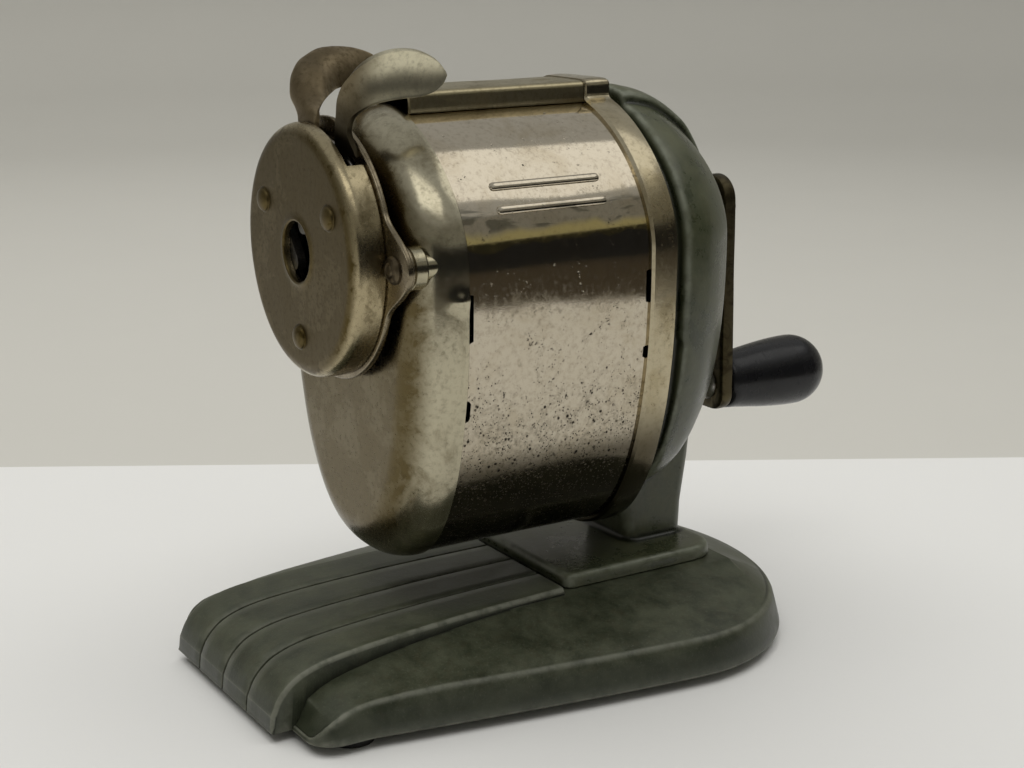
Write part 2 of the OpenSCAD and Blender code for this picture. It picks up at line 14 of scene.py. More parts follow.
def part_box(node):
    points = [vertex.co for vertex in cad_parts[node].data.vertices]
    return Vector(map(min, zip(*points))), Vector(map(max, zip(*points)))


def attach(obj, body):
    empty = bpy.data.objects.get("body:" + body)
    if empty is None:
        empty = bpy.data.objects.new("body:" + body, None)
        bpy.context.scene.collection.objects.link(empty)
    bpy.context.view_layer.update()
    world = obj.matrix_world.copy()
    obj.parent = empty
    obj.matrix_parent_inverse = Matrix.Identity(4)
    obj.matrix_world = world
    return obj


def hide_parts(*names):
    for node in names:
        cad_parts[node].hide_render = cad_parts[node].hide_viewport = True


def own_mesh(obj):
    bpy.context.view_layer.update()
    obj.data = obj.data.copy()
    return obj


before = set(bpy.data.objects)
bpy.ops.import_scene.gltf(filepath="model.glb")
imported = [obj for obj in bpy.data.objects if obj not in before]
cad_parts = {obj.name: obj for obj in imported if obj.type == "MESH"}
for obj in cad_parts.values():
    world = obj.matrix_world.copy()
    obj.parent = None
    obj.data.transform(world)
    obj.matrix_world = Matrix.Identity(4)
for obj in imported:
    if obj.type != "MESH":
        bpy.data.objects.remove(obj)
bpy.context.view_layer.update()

MM = 0.001
scene = bpy.context.scene


# ---- places and sizes taken from the frame ----


def span(node):
    """Lowest and highest corner of a CAD node."""
    low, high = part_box(node)
    return low / MM, high / MM


def middle(node):
    """The middle of a CAD node's box."""
    low, high = span(node)
    return (low + high) / 2


cap_low, cap_high = span("front_cap")
ring_low, ring_high = span("rear_ring")
bar_low, bar_high = span("top_bar")
dial_high = span("dial_cap")[1]
base_low, base_high = span("base")
case_low, case_high = span("gear_case")
arm_low, arm_high = span("crank_arm")
knob_low, knob_high = span("handle_knob")
tube_low, tube_high = span("guide_tube")

AXIS_Z = middle("crank_shaft").z
DRUM_W = cap_high.x
DRUM_TOP = cap_high.z
DRUM_LOW = cap_low.z
DRUM_MID = AXIS_Z - 1
CAP_Y = cap_low.y
SEAM_Y = cap_high.y
RING_Y = ring_low.y
RING_BACK = ring_high.y
BAR_W = bar_high.x
BAR_TOP = bar_high.z
PLATE_Y = dial_high.y
DIAL_Y = PLATE_Y - 6.5
DIAL_R = dial_high.x
HOLE_R = 5.7
PIVOT_R = 16.3
PIVOT_ANGLES = [30, 150, 270]
ROD_X = middle("feed_spring_right").x
PLATE_T = 1.2
COLLAR_BACK = span("chuck_plate")[1].y
BUSH_FRONT, BUSH_BACK = (corner.y for corner in span("rod_bushings"))
RIGHT_WING_Y = span("wing_right")[0].y
LEFT_WING_Y = span("wing_left")[0].y
ARM_Y = arm_low.y
ARM_BACK = arm_high.y
CRANK_END_Z = middle("handle_knob").z
KNOB_R = knob_high.x
ARM_W = arm_high.x
BASE_Z = base_low.z
STRIPE_Z = base_high.z
BASE_W = base_high.x
BASE_BACK = base_high.y
BASE_NOSE = base_low.y
FLANGE_W = 18.9
FLANGE_FRONT = case_low.y
FLANGE_BACK = 31.4
DECK_Z = case_low.z
CASE_BACK = case_high.y
DOME_Y = RING_BACK + 3.0
DOME_DEEP = CASE_BACK - RING_BACK


# ---- building meshes ----


def build(name, points, faces):
    """A mesh object from points in millimetres."""
    mesh = bpy.data.meshes.new(name)
    mesh.from_pydata((np.asarray(points, float) * MM).tolist(), [], [tuple(f) for f in faces])
    obj = bpy.data.objects.new(name, mesh)
    scene.collection.objects.link(obj)
    return obj


def grid_faces(rows, count, closed_rows=False, closed_count=True):
    """Faces between rows of count points each."""
    faces = []
    for i in range(rows if closed_rows else rows - 1):
        here, there = i * count, (i + 1) % rows * count
        for j in range(count if closed_count else count - 1):
            k = (j + 1) % count
            faces.append((here + j, here + k, there + k, there + j))
    return faces


def loft(name, rings, closed=False, capped=True):
    """A skin over rings of equal length; closed joins the last ring to the first."""
    count = len(rings[0])
    faces = grid_faces(len(rings), count, closed_rows=closed)
    if capped and not closed:
        last = (len(rings) - 1) * count
        faces.append(range(count - 1, -1, -1))
        faces.append(range(last, last + count))
    return build(name, np.concatenate(rings), faces)


def hoop(radius, y, count, x=0.0, z=AXIS_Z):
    """A circle of count points at y, about a line along Y."""
    return raise_xz(circle(x, z, radius, count), y)


def lathe(name, profile, x=0.0, z=AXIS_Z, steps=96, closed=False):
    """A turned piece about a line along Y, from a profile of (radius, y)."""
    rings = [hoop(radius, y, steps, x, z) for radius, y in profile]
    return loft(name, rings, closed=closed, capped=not closed)


def behind(y, *points):
    """Profile points of (radius, y), from pairs of (radius, distance behind y)."""
    return [(radius, y + back) for radius, back in points]


def arc(centre, radius, start, end, steps):
    """Points of an arc; radius may be a pair for an ellipse."""
    rx, ry = (radius, radius) if np.isscalar(radius) else radius
    turn = np.radians(np.linspace(start, end, steps))
    return [(centre[0] + rx * math.cos(t), centre[1] + ry * math.sin(t)) for t in turn]


def raise_xz(loop, y):
    """A loop drawn in X and Z, placed at y."""
    loop = np.asarray(loop, float)
    return np.stack([loop[:, 0], np.full(len(loop), float(y)), loop[:, 1]], 1)


def inset_loop(loop, inset):
    """A counter-clockwise loop moved inwards by inset."""
    loop = np.asarray(loop, float)
    ahead = np.roll(loop, -1, 0) - np.roll(loop, 1, 0)
    outward = np.stack([ahead[:, 1], -ahead[:, 0]], 1)
    return loop - inset * outward / np.linalg.norm(outward, axis=1, keepdims=True)


def resample(points, count, closed=True):
    """The same line with count points at equal steps."""
    points = np.asarray(points, float)
    line = np.vstack([points, points[:1]]) if closed else points
    along = np.concatenate([[0], np.cumsum(np.linalg.norm(np.diff(line, axis=0), axis=1))])
    wanted = np.linspace(0, along[-1], count, endpoint=not closed)
    return np.stack([np.interp(wanted, along, line[:, k]) for k in range(line.shape[1])], 1)


def soften(loop, passes):
    """A closed loop with its corners eased by averaging."""
    for _ in range(passes):
        loop = (np.roll(loop, 1, 0) + 2 * loop + np.roll(loop, -1, 0)) / 4
    return loop


def slab(name, loop, y0, y1, edge, hole, steps=3):
    """A plate between y0 and y1 with rounded edges, and a hole that has as many points as its outline."""
    rings = []
    turns = np.radians(np.linspace(0, 90, steps + 1))
    for face, inward, order in ((y0, 1, turns), (y1, -1, turns[::-1])):
        for t in order:
            outline = inset_loop(loop, edge * (1 - math.sin(t)))
            rings.append(raise_xz(outline, face + inward * edge * (1 - math.cos(t))))
    rings += [raise_xz(hole, y1), raise_xz(hole, y0)]
    return loft(name, rings, closed=True)


def circle(x, z, radius, count):
    """A circle in X and Z."""
    turn = np.linspace(0, 2 * math.pi, count, endpoint=False)
    return np.stack([x + radius * np.cos(turn), z + radius * np.sin(turn)], 1)


def apply_modifiers(obj, *modifiers):
    """Adds modifiers given as (type, settings) and makes their result the object's mesh."""
    for kind, settings in modifiers:
        added = obj.modifiers.new(kind.title(), kind)
        for key, value in settings.items():
            setattr(added, key, value)
    mesh = bpy.data.meshes.new_from_object(obj.evaluated_get(bpy.context.evaluated_depsgraph_get()))
    obj.modifiers.clear()
    obj.data = mesh
    mesh.name = obj.name
    return obj


def combine(obj, other, operation):
    """Cuts other out of obj, or joins it on, and removes it."""
    orient(obj)
    orient(other)
    bpy.context.view_layer.update()
    apply_modifiers(obj, ("BOOLEAN", {"object": other, "operation": operation, "solver": "EXACT"}))
    bpy.data.objects.remove(other)
    return obj


def merge(name, *parts):
    """One object holding the meshes of several, which are removed."""
    whole = bmesh.new()
    for part in parts:
        whole.from_mesh(part.data)
        bpy.data.objects.remove(part)
    mesh = bpy.data.meshes.new(name)
    whole.to_mesh(mesh)
    whole.free()
    obj = bpy.data.objects.new(name, mesh)
    scene.collection.objects.link(obj)
    return obj


def orient(obj):
    """Merges double points and turns every face outwards."""
    mesh = bmesh.new()
    mesh.from_mesh(obj.data)
    bmesh.ops.remove_doubles(mesh, verts=mesh.verts, dist=1e-6)
    bmesh.ops.dissolve_degenerate(mesh, edges=mesh.edges, dist=1e-7)
    bmesh.ops.recalc_face_normals(mesh, faces=mesh.faces)
    mesh.to_mesh(obj.data)
    mesh.free()


def values_of(items, name, width=1, kind=float):
    """A named value of all points, edges, faces or loops of a mesh, as one array."""
    values = np.empty(len(items) * width, kind)
    items.foreach_get(name, values)
    return values.reshape(-1, width) if width > 1 else values


def displace(obj, depth):
    """Moves each point along its normal by depth(place), both in millimetres."""
    mesh = obj.data
    co = values_of(mesh.vertices, "co", 3)
    normal = values_of(mesh.vertices, "normal", 3)
    moved = np.array([depth(place) for place in co / MM]) * MM
    mesh.vertices.foreach_set("co", (co + normal * moved[:, None]).ravel())
    mesh.update()


def dent(obj, size, depth, seed):
    """Moves the surface in and out by up to depth, in soft waves of that size."""
    shift = Vector((seed, 0, 0))
    displace(obj, lambda place: depth * noise.noise(Vector(place) / size + shift))


def bump_out(obj, place, radius, height):
    """A small raised dimple in a sheet, about a place and its mirror image."""

    def rise(here):
        """Height of the dimple at a point."""
        away = math.dist((abs(here[0]), here[1], here[2]), place) / radius
        return height * math.exp(-away * away) if away < 2.5 else 0.0

    displace(obj, rise)


def mark_edges(obj, full, blur=2):
    """Stores at each point how ridged and how hollow the surface is; full is a curvature per mm."""
    mesh = obj.data
    points = len(mesh.vertices)
    co = values_of(mesh.vertices, "co", 3) / MM
    normal = values_of(mesh.polygons, "normal", 3)
    centre = values_of(mesh.polygons, "center", 3) / MM
    area = values_of(mesh.polygons, "area")
    sizes = values_of(mesh.polygons, "loop_total", kind=int)
    loop_edge = values_of(mesh.loops, "edge_index", kind=int)
    loop_vertex = values_of(mesh.loops, "vertex_index", kind=int)
    ends = values_of(mesh.edges, "vertices", 2, int)
    loop_face = np.repeat(np.arange(len(sizes)), sizes)
    order = np.argsort(loop_edge, kind="stable")
    by_edge, by_face = loop_edge[order], loop_face[order]
    pair = np.nonzero(by_edge[1:] == by_edge[:-1])[0]
    edge, a, b = by_edge[pair], by_face[pair], by_face[pair + 1]
    turn = np.arccos(np.clip(np.sum(normal[a] * normal[b], 1), -1, 1))
    convex = -np.sign(np.sum(normal[a] * (centre[b] - centre[a]), 1))
    length = np.linalg.norm(co[ends[edge, 0]] - co[ends[edge, 1]], axis=1)
    bend, share = np.zeros(points), np.zeros(points)
    for side in (0, 1):
        np.add.at(bend, ends[edge, side], convex * turn * length / 4)
    np.add.at(share, loop_vertex, (area / MM**2 / sizes)[loop_face])
    curve = bend / np.clip(share, 1e-3, 1.0)
    for sign, name in ((1, "ridge"), (-1, "hollow")):
        value = np.clip(sign * curve / full, 0, 1)
        for _ in range(blur):
            total, count = value.copy(), np.ones(points)
            for side in (0, 1):
                np.add.at(total, ends[:, side], value[ends[:, 1 - side]])
                np.add.at(count, ends[:, side], 1)
            value = total / count
        attribute = mesh.attributes.new(name, "FLOAT", "POINT")
        attribute.data.foreach_set("value", value.astype(np.float32))


def finish_piece(obj, body, material, nodes=(), sharp=32, full=0.5, blur=2):
    """Shading, material and body of a piece whose shape is done."""
    orient(obj)
    obj.data.polygons.foreach_set("use_smooth", [True] * len(obj.data.polygons))
    obj.data.set_sharp_from_angle(angle=math.radians(sharp))
    mark_edges(obj, full, blur)
    obj.data.materials.clear()
    obj.data.materials.append(material)
    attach(obj, body)
    if nodes:
        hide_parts(*nodes)
    return obj


# ---- materials ----


class Finish:
    """A material's node tree, built from small steps; lengths in it are millimetres."""

    def __init__(self, name, **values):
        """Values are sockets of the shader, with _ for a space."""
        self.material = bpy.data.materials.new(name)
        self.material.use_nodes = True
        self.tree = self.material.node_tree
        self.shader = self.tree.nodes["Principled BSDF"]
        for key, value in values.items():
            self.shader.inputs[key.replace("_", " ").title().replace("Ior", "IOR")].default_value = value
        self.place = self.node("TexCoord").outputs["Object"]
        self.place = self.scaled((1 / MM,) * 3)

    def node(self, kind, **settings):
        """A new node of that kind."""
        made = self.tree.nodes.new("ShaderNode" + kind)
        for key, value in settings.items():
            setattr(made, key, value)
        return made

    def feed(self, socket, value):
        """Links a node's output to a socket, or sets a number or a colour on it."""
        if isinstance(value, bpy.types.NodeSocket):
            self.tree.links.new(value, socket)
        elif hasattr(value, "__len__") and len(value) == 3 and socket.type == "RGBA":
            socket.default_value = (*value, 1)
        else:
            socket.default_value = value

    def scaled(self, factors):
        """The place on the surface, times a factor for each axis."""
        made = self.node("VectorMath", operation="MULTIPLY")
        self.feed(made.inputs[0], self.place)
        made.inputs[1].default_value = factors
        return made.outputs[0]

    def math(self, operation, a, b=0.0, clamp=True):
        """One step of arithmetic; clamp keeps a sum or a difference between 0 and 1."""
        made = self.node("Math", operation=operation, use_clamp=clamp and operation in ("ADD", "SUBTRACT"))
        self.feed(made.inputs[0], a)
        self.feed(made.inputs[1], b)
        return made.outputs[0]

    def shift(self, a, b):
        """A sum that may be below 0 or above 1."""
        return self.math("ADD", a, b, clamp=False)

    def times(self, *values):
        """The product of all values."""
        total = values[0]
        for value in values[1:]:
            total = self.math("MULTIPLY", total, value)
        return total

    def noise(self, size, detail=4.0, rough=0.55, stretch=(1, 1, 1), warp=0.0):
        """Cloudy value from 0 to 1 whose features are about size across."""
        made = self.node("TexNoise")
        self.feed(made.inputs["Vector"], self.scaled(tuple(k / size for k in stretch)))
        for key, value in (("Scale", 1.0), ("Detail", detail), ("Roughness", rough), ("Distortion", warp)):
            made.inputs[key].default_value = value
        return made.outputs[0]

    def cells(self, size):
        """Distance to scattered points about size apart."""
        made = self.node("TexVoronoi")
        self.feed(made.inputs["Vector"], self.scaled((1 / size,) * 3))
        made.inputs["Scale"].default_value = 1.0
        return made.outputs["Distance"]

    def ease(self, value, low, high, out_low=0.0, out_high=1.0):
        """Smooth step of value from low to high."""
        made = self.node("MapRange", interpolation_type="SMOOTHSTEP")
        for key, number in zip(("Value", "From Min", "From Max", "To Min", "To Max"),
                               (value, low, high, out_low, out_high)):
            self.feed(made.inputs[key], number)
        return made.outputs[0]

    def axis(self, index):
        """The place along X, Y or Z, for 0, 1 or 2."""
        made = self.node("SeparateXYZ")
        self.feed(made.inputs[0], self.place)
        return made.outputs[index]

    def mark(self, name):
        """A value stored on the mesh by mark_edges()."""
        return self.node("Attribute", attribute_name=name).outputs["Fac"]

    def mix(self, share, a, b):
        """Colour a, with that share of colour b."""
        made = self.node("Mix", data_type="RGBA")
        self.feed(made.inputs["Factor"], share)
        self.feed(made.inputs[6], a)
        self.feed(made.inputs[7], b)
        return made.outputs[2]

    def bump(self, *layers):
        """Relief from (height, depth) layers."""
        normal = None
        for height, depth in layers:
            made = self.node("Bump")
            made.inputs["Distance"].default_value = depth * MM
            made.inputs["Strength"].default_value = 1.0
            self.feed(made.inputs["Height"], height)
            if normal is not None:
                self.feed(made.inputs["Normal"], normal)
            normal = made.outputs[0]
        self.feed(self.shader.inputs["Normal"], normal)

    def done(self, colour, roughness):
        """The finished material."""
        self.feed(self.shader.inputs["Base Color"], colour)
        self.feed(self.shader.inputs["Roughness"], roughness)
        return self.material


def enamel(name, dark, light, brown, worn, gloss):
    """Old green-grey enamel on a casting: cloudy, slightly pebbled, worn through on its ridges, with grime
    and painted shade in its hollows and painted shade towards the bottom.
    """
    f = Finish(name)
    clouds = f.ease(f.noise(10, 7, 0.72, warp=0.3), 0.28, 0.72)
    stains = f.ease(f.noise(2.2, 5, 0.75, warp=0.4), 0.45, 0.75)
    specks = f.ease(f.noise(0.42, 3, 0.7), 0.56, 0.72)
    ragged = f.ease(f.noise(3, 3, 0.6), 0.3, 0.6, 0.35, 1.0)
    rubbed = f.times(f.ease(f.mark("ridge"), 0.15, 0.9), ragged)
    # painted shade, partly grime: how hollow the surface is, for darkening grooves and creases
    grime_and_shade = f.ease(f.mark("hollow"), 0.1, 0.7)
    colour = f.mix(clouds, dark, light)
    colour = f.mix(f.times(stains, 0.45), colour, brown)
    colour = f.mix(f.times(specks, 0.3), colour, worn)
    # painted shade: the enamel darkened towards the bottom, below 10 mm, on the skirt of the base
    colour = f.mix(f.ease(f.axis(2), 10, 5, 0, 0.5), colour, dark)
    colour = f.mix(rubbed, colour, worn)
    # grime and painted shade: hollows darkened towards a quarter of the dark colour
    colour = f.mix(f.times(grime_and_shade, 0.8), colour, tuple(k * 0.25 for k in dark))
    roughness = f.math("ADD", f.ease(clouds, 0, 1, gloss, gloss + 0.14), f.times(rubbed, 0.12))
    f.bump((f.noise(1.6, 3, 0.5), 0.04), (f.noise(0.4, 2, 0.5), 0.014))
    return f.done(colour, roughness)


def plated(name, bright, stain, deep, cover, gloss, dull, grain=0.006, painted_reflection=0.0, pits=None, face=None,
           foot=None):
    """Old nickel plate: bright metal under patchy tarnish, rubbed clean on its ridges.

    cover is how much of it is tarnished, gloss and dull the roughness of clean and of tarnished metal,
    grain the depth of its relief. painted_reflection adds a painted reflection of the room, a light and a
    dark band above the axis, pits adds rust pits between two heights, face adds a dark tarnish that grows
    between two places along Y, and foot adds painted shade, a dark painted reflection that grows towards
    the bottom between two heights along Z.
    """
    f = Finish(name, metallic=1.0)
    patches = f.ease(f.noise(11, 6, 0.68, warp=0.5), 0.57 - 0.4 * cover, 0.87 - 0.4 * cover)
    freckles = f.ease(f.noise(1.1, 5, 0.7), 0.45, 0.75)
    hollow = f.ease(f.mark("hollow"), 0.1, 0.6)
    rubbed = f.times(f.ease(f.mark("ridge"), 0.1, 0.6), f.ease(f.noise(1.3, 3, 0.6), 0.25, 0.6))
    tarnish = f.math("ADD", patches, f.times(freckles, 0.45 * cover))
    tarnish = f.times(f.math("SUBTRACT", tarnish, f.times(rubbed, 0.8)), 0.7)
    if face:
        tarnish = f.math("ADD", tarnish, f.ease(f.axis(1), face[1], face[0], 0, 0.92))
    colour = f.mix(tarnish, bright, stain)
    colour = f.mix(f.times(freckles, 0.3), colour, deep)
    colour = f.mix(f.times(hollow, 0.85), colour, deep)
    # painted reflection: a wavy light band and a darker band above the axis stand in for the room reflected
    # in the metal
    if painted_reflection:
        wave = f.ease(f.noise(7, 2, 0.5, stretch=(0.4, 0.6, 0.4)), 0.3, 0.7, -1.1, 1.1)
        height = f.shift(f.axis(2), f.shift(wave, -AXIS_Z))
        reflected_light_band = f.times(f.ease(height, 2.4, 3.0), f.ease(height, 6.2, 4.4))
        ripple = f.ease(f.noise(2.6, 3, 0.5, stretch=(0.3, 0.3, 1.3), warp=0.5), 0.5, 0.6)
        reflected_dark_band = f.times(f.ease(height, 5.2, 6.2), f.ease(height, 10.5, 8.5), ripple)
        colour = f.mix(f.times(reflected_light_band, painted_reflection), colour, (0.86, 0.70, 0.28))
        colour = f.mix(f.times(reflected_dark_band, painted_reflection), colour, (0.20, 0.185, 0.14))
    roughness = f.math("ADD", f.ease(tarnish, 0, 1, gloss, dull), f.times(freckles, 0.1))
    # painted shade: a dark painted reflection that grows towards the bottom between the two heights in foot
    if foot:
        colour = f.mix(f.ease(f.axis(2), foot[1], foot[0], 0, 0.86), colour, (0.05, 0.041, 0.025))
    relief = [(f.noise(0.35, 3, 0.6), grain), (f.noise(5, 3, 0.5, stretch=(1, 1, 0.6)), grain * 6)]
    if pits:
        low = f.ease(f.axis(2), pits[1] + 4, pits[0], 0, 0.26)
        rot = f.math("ADD", f.noise(5, 5, 0.7, warp=1.5), low)
        clouds = f.times(f.ease(rot, 0.56, 0.84), f.ease(f.noise(0.8, 4, 0.7), 0.35, 0.75))
        spots = f.times(f.ease(f.cells(1.3), 0.3, 0.14), f.ease(f.noise(2.2, 3, 0.6), 0.42, 0.56))
        specks = f.times(f.ease(f.cells(0.55), 0.3, 0.14), f.ease(f.noise(1.7, 3, 0.6), 0.42, 0.56))
        spots = f.times(f.math("MAXIMUM", spots, specks), f.ease(rot, 0.58, 0.72))
        colour = f.mix(f.times(clouds, 0.75), colour, (0.10, 0.085, 0.055))
        colour = f.mix(f.times(spots, 0.92), colour, (0.018, 0.015, 0.012))
        roughness = f.math("ADD", roughness, f.math("ADD", f.times(spots, 0.4), f.times(clouds, 0.18)))
        relief.append((spots, -0.06))
    f.bump(*relief)
    return f.done(colour, roughness)


def machined(name, bright, stain, gloss, dull):
    """Plain steel, brass or bronze of small inner pieces, with oil stains and fine grain."""
    f = Finish(name, metallic=1.0)
    stains = f.ease(f.noise(3, 5, 0.65, warp=1.0), 0.4, 0.7)
    fine = f.noise(0.25, 3, 0.6)
    colour = f.mix(stains, bright, stain)
    roughness = f.math("ADD", f.ease(stains, 0, 1, gloss, dull), f.times(fine, 0.12))
    f.bump((fine, 0.006), (f.noise(1.5, 3, 0.5), 0.015))
    return f.done(colour, roughness)


def black_handle(name):
    """Glossy black handle with hairline scratches and dust."""
    f = Finish(name, coat_weight=0.1, coat_roughness=0.15, specular_ior_level=0.3)
    dust = f.ease(f.noise(0.8, 4, 0.7), 0.6, 0.85)
    marks = f.ease(f.noise(3, 4, 0.7, stretch=(1, 6, 1)), 0.58, 0.7)
    colour = f.mix(f.times(dust, 0.2), (0.008, 0.008, 0.009), (0.05, 0.05, 0.045))
    roughness = f.math("ADD", f.ease(f.noise(5, 3, 0.5), 0.3, 0.7, 0.2, 0.32), f.times(marks, 0.12))
    f.bump((marks, -0.01), (f.noise(2.5, 2, 0.5), 0.02))
    return f.done(colour, roughness)


def rubber(name):
    """Dusty black rubber."""
    f = Finish(name)
    dust = f.ease(f.noise(1.2, 4, 0.7), 0.4, 0.8)
    colour = f.mix(f.times(dust, 0.5), (0.012, 0.012, 0.012), (0.05, 0.048, 0.044))
    f.bump((f.noise(0.4, 3, 0.6), 0.03))
    return f.done(colour, f.ease(dust, 0, 1, 0.6, 0.85))


base_enamel = enamel("base_enamel", (0.019, 0.024, 0.013), (0.070, 0.077, 0.048), (0.042, 0.036, 0.019),
                     (0.15, 0.155, 0.12), 0.34)
case_enamel = enamel("case_enamel", (0.022, 0.028, 0.013), (0.076, 0.081, 0.044), (0.050, 0.046, 0.020),
                     (0.14, 0.15, 0.11), 0.24)
worn_nickel = plated("worn_nickel", (0.44, 0.40, 0.28), (0.26, 0.215, 0.12), (0.07, 0.055, 0.03),
                     0.5, 0.19, 0.32)
# foot darkens the ring's lower part with painted shade, a dark painted reflection
ring_nickel = plated("ring_nickel", (0.48, 0.42, 0.29), (0.33, 0.27, 0.15), (0.09, 0.07, 0.035),
                     0.4, 0.17, 0.28, foot=(43, 57))
bar_nickel = plated("bar_nickel", (0.46, 0.40, 0.25), (0.28, 0.23, 0.13), (0.08, 0.06, 0.03),
                    0.4, 0.3, 0.42)
plate_nickel = plated("plate_nickel", (0.26, 0.22, 0.15), (0.13, 0.10, 0.06), (0.05, 0.038, 0.02),
                      0.5, 0.24, 0.36)
cap_nickel = plated("cap_nickel", (0.48, 0.44, 0.32), (0.12, 0.092, 0.042), (0.07, 0.055, 0.028),
                    0.3, 0.17, 0.24, face=(CAP_Y + 0.5, CAP_Y + 4.5))
dial_nickel = plated("dial_nickel", (0.42, 0.355, 0.22), (0.088, 0.063, 0.021), (0.035, 0.025, 0.010),
                     0.42, 0.24, 0.36, grain=0.01, face=(DIAL_Y + 0.05, DIAL_Y + 1.1))
wing_dull = plated("wing_dull", (0.30, 0.24, 0.15), (0.11, 0.083, 0.044), (0.045, 0.033, 0.018),
                   0.95, 0.38, 0.54, grain=0.03)
# right wing: its very bright metal is partly a painted highlight, and face and foot darken its neck with
# painted shade
wing_sheen_and_shade = plated("wing_sheen_and_shade", (0.74, 0.69, 0.51), (0.12, 0.092, 0.05), (0.09, 0.07, 0.04),
                     0.2, 0.33, 0.42, face=(RIGHT_WING_Y + 0.8, RIGHT_WING_Y + 7.5),
                     foot=(AXIS_Z + 23.5, AXIS_Z + 30.5))
# the band: its light and dark bands above the axis are a painted reflection, and foot paints shade on its
# lower part as a dark reflection
band_nickel = plated("band_nickel", (0.56, 0.50, 0.395), (0.44, 0.375, 0.265), (0.14, 0.11, 0.07),
                     0.35, 0.07, 0.13, grain=0.002, painted_reflection=0.8, pits=(42, 76), foot=(44, 50.5))
steel = machined("steel", (0.50, 0.48, 0.45), (0.22, 0.19, 0.15), 0.26, 0.45)
rod_steel = machined("rod_steel", (0.12, 0.095, 0.06), (0.05, 0.038, 0.022), 0.34, 0.5)
dark_steel = machined("dark_steel", (0.14, 0.135, 0.125), (0.06, 0.052, 0.042), 0.34, 0.52)
cutter_steel = machined("cutter_steel", (0.40, 0.39, 0.37), (0.18, 0.16, 0.13), 0.24, 0.4)
bronze = machined("bronze", (0.48, 0.31, 0.13), (0.22, 0.13, 0.06), 0.3, 0.5)
arm_steel = machined("arm_steel", (0.085, 0.07, 0.038), (0.032, 0.025, 0.013), 0.32, 0.46)
black_gloss = black_handle("black_gloss")
foot_rubber = rubber("rubber")


# ---- outlines ----

# powers of the drum's outline above and below its widest height
EGG_UPPER, EGG_LOWER = 1.78, 2.35


def egg_at(turn, inset=0.0, low=None):
    """Points of the drum's egg outline in X and Z at angles in radians."""
    low = DRUM_LOW if low is None else low
    c, s = np.cos(turn), np.sin(turn)
    power = np.where(s >= 0, EGG_UPPER, EGG_LOWER)
    height = np.where(s >= 0, DRUM_TOP - DRUM_MID - inset, DRUM_MID - low - inset)
    x = (DRUM_W - inset) * np.sign(c) * np.abs(c) ** (2 / power)
    z = DRUM_MID + height * np.sign(s) * np.abs(s) ** (2 / power)
    return np.stack([x, z], 1)


EGG_POINTS = 480
FINE_TURNS = np.linspace(0, 2 * math.pi, 6000)
FINE_STEPS = np.linalg.norm(np.diff(egg_at(FINE_TURNS), axis=0), axis=1)
FINE_ALONG = np.concatenate([[0], np.cumsum(FINE_STEPS)])
EGG_TURNS = np.interp(np.linspace(0, FINE_ALONG[-1], EGG_POINTS, endpoint=False), FINE_ALONG, FINE_TURNS)


def egg(inset=0.0, low=None, ease=6):
    """The egg outline with evenly spread points, the same ones at every inset."""
    return soften(egg_at(EGG_TURNS, inset, low), ease)


# ---- receptacle ----

SHEET = 0.8
MOUTH_R = 8.4
ROD_HOLE_R = 2.65
ROLL_BACK = SEAM_Y - 0.8
ROLL = ROLL_BACK - CAP_Y
STAKE = (DRUM_W - 0.1, SEAM_Y - 1.9, AXIS_Z - 6.2)


def front_cap():
    """Drawn sheet cap: a quarter-round roll into a flat face with the pencil hole."""
    rings = [raise_xz(egg(0.3), SEAM_Y), raise_xz(egg(0.0), SEAM_Y - 0.25)]
    for t in np.radians(np.linspace(0, 90, 26)):
        rings.append(raise_xz(egg(ROLL * (1 - math.cos(t))), ROLL_BACK - ROLL * math.sin(t)))
    rim = egg(ROLL)
    spokes = rim - [0, AXIS_Z]
    mouth = [0, AXIS_Z] + MOUTH_R * spokes / np.linalg.norm(spokes, axis=1, keepdims=True)
    for t in np.linspace(0, 1, 12)[1:]:
        rings.append(raise_xz(rim + (mouth - rim) * t, CAP_Y))
    cap = loft("front_cap_skin", rings, capped=False)
    orient(cap)
    dent(cap, 14, 0.16, 3)
    bump_out(cap, STAKE, 1.5, 0.75)
    sheet = {"thickness": SHEET * MM, "offset": -1, "use_even_offset": True}
    cap = apply_modifiers(cap, ("SOLIDIFY", sheet))
    for side in (-1, 1):
        hole = lathe("hole", [(ROD_HOLE_R, CAP_Y - 3), (ROD_HOLE_R, SEAM_Y + 1)], side * ROD_X, steps=48)
        combine(cap, hole, "DIFFERENCE")
    return finish_piece(cap, "receptacle", cap_nickel, ["front_cap"], full=0.9)


def in_slits(z, ranges):
    """1 where z is inside one of the ranges, with short ramps, else 0."""
    inside = np.zeros(len(z))
    for low, high in ranges:
        up, down = np.clip((z - low) / SLIT_RAMP, 0, 1), np.clip((high - z) / SLIT_RAMP, 0, 1)
        inside = np.maximum(inside, up * down)
    return inside


FRONT_SLITS = [(AXIS_Z - 14.7, AXIS_Z - 5.1), (AXIS_Z - 29.8, AXIS_Z - 25.2)]
BACK_SLITS = [(AXIS_Z - 11.5, AXIS_Z - 4.5), (AXIS_Z - 22.7, AXIS_Z - 19.5)]
SLIT_DEEP = 1.75
SLIT_RAMP = 0.4
BAND_INSET = 0.42
BAND_TUCK = 0.9


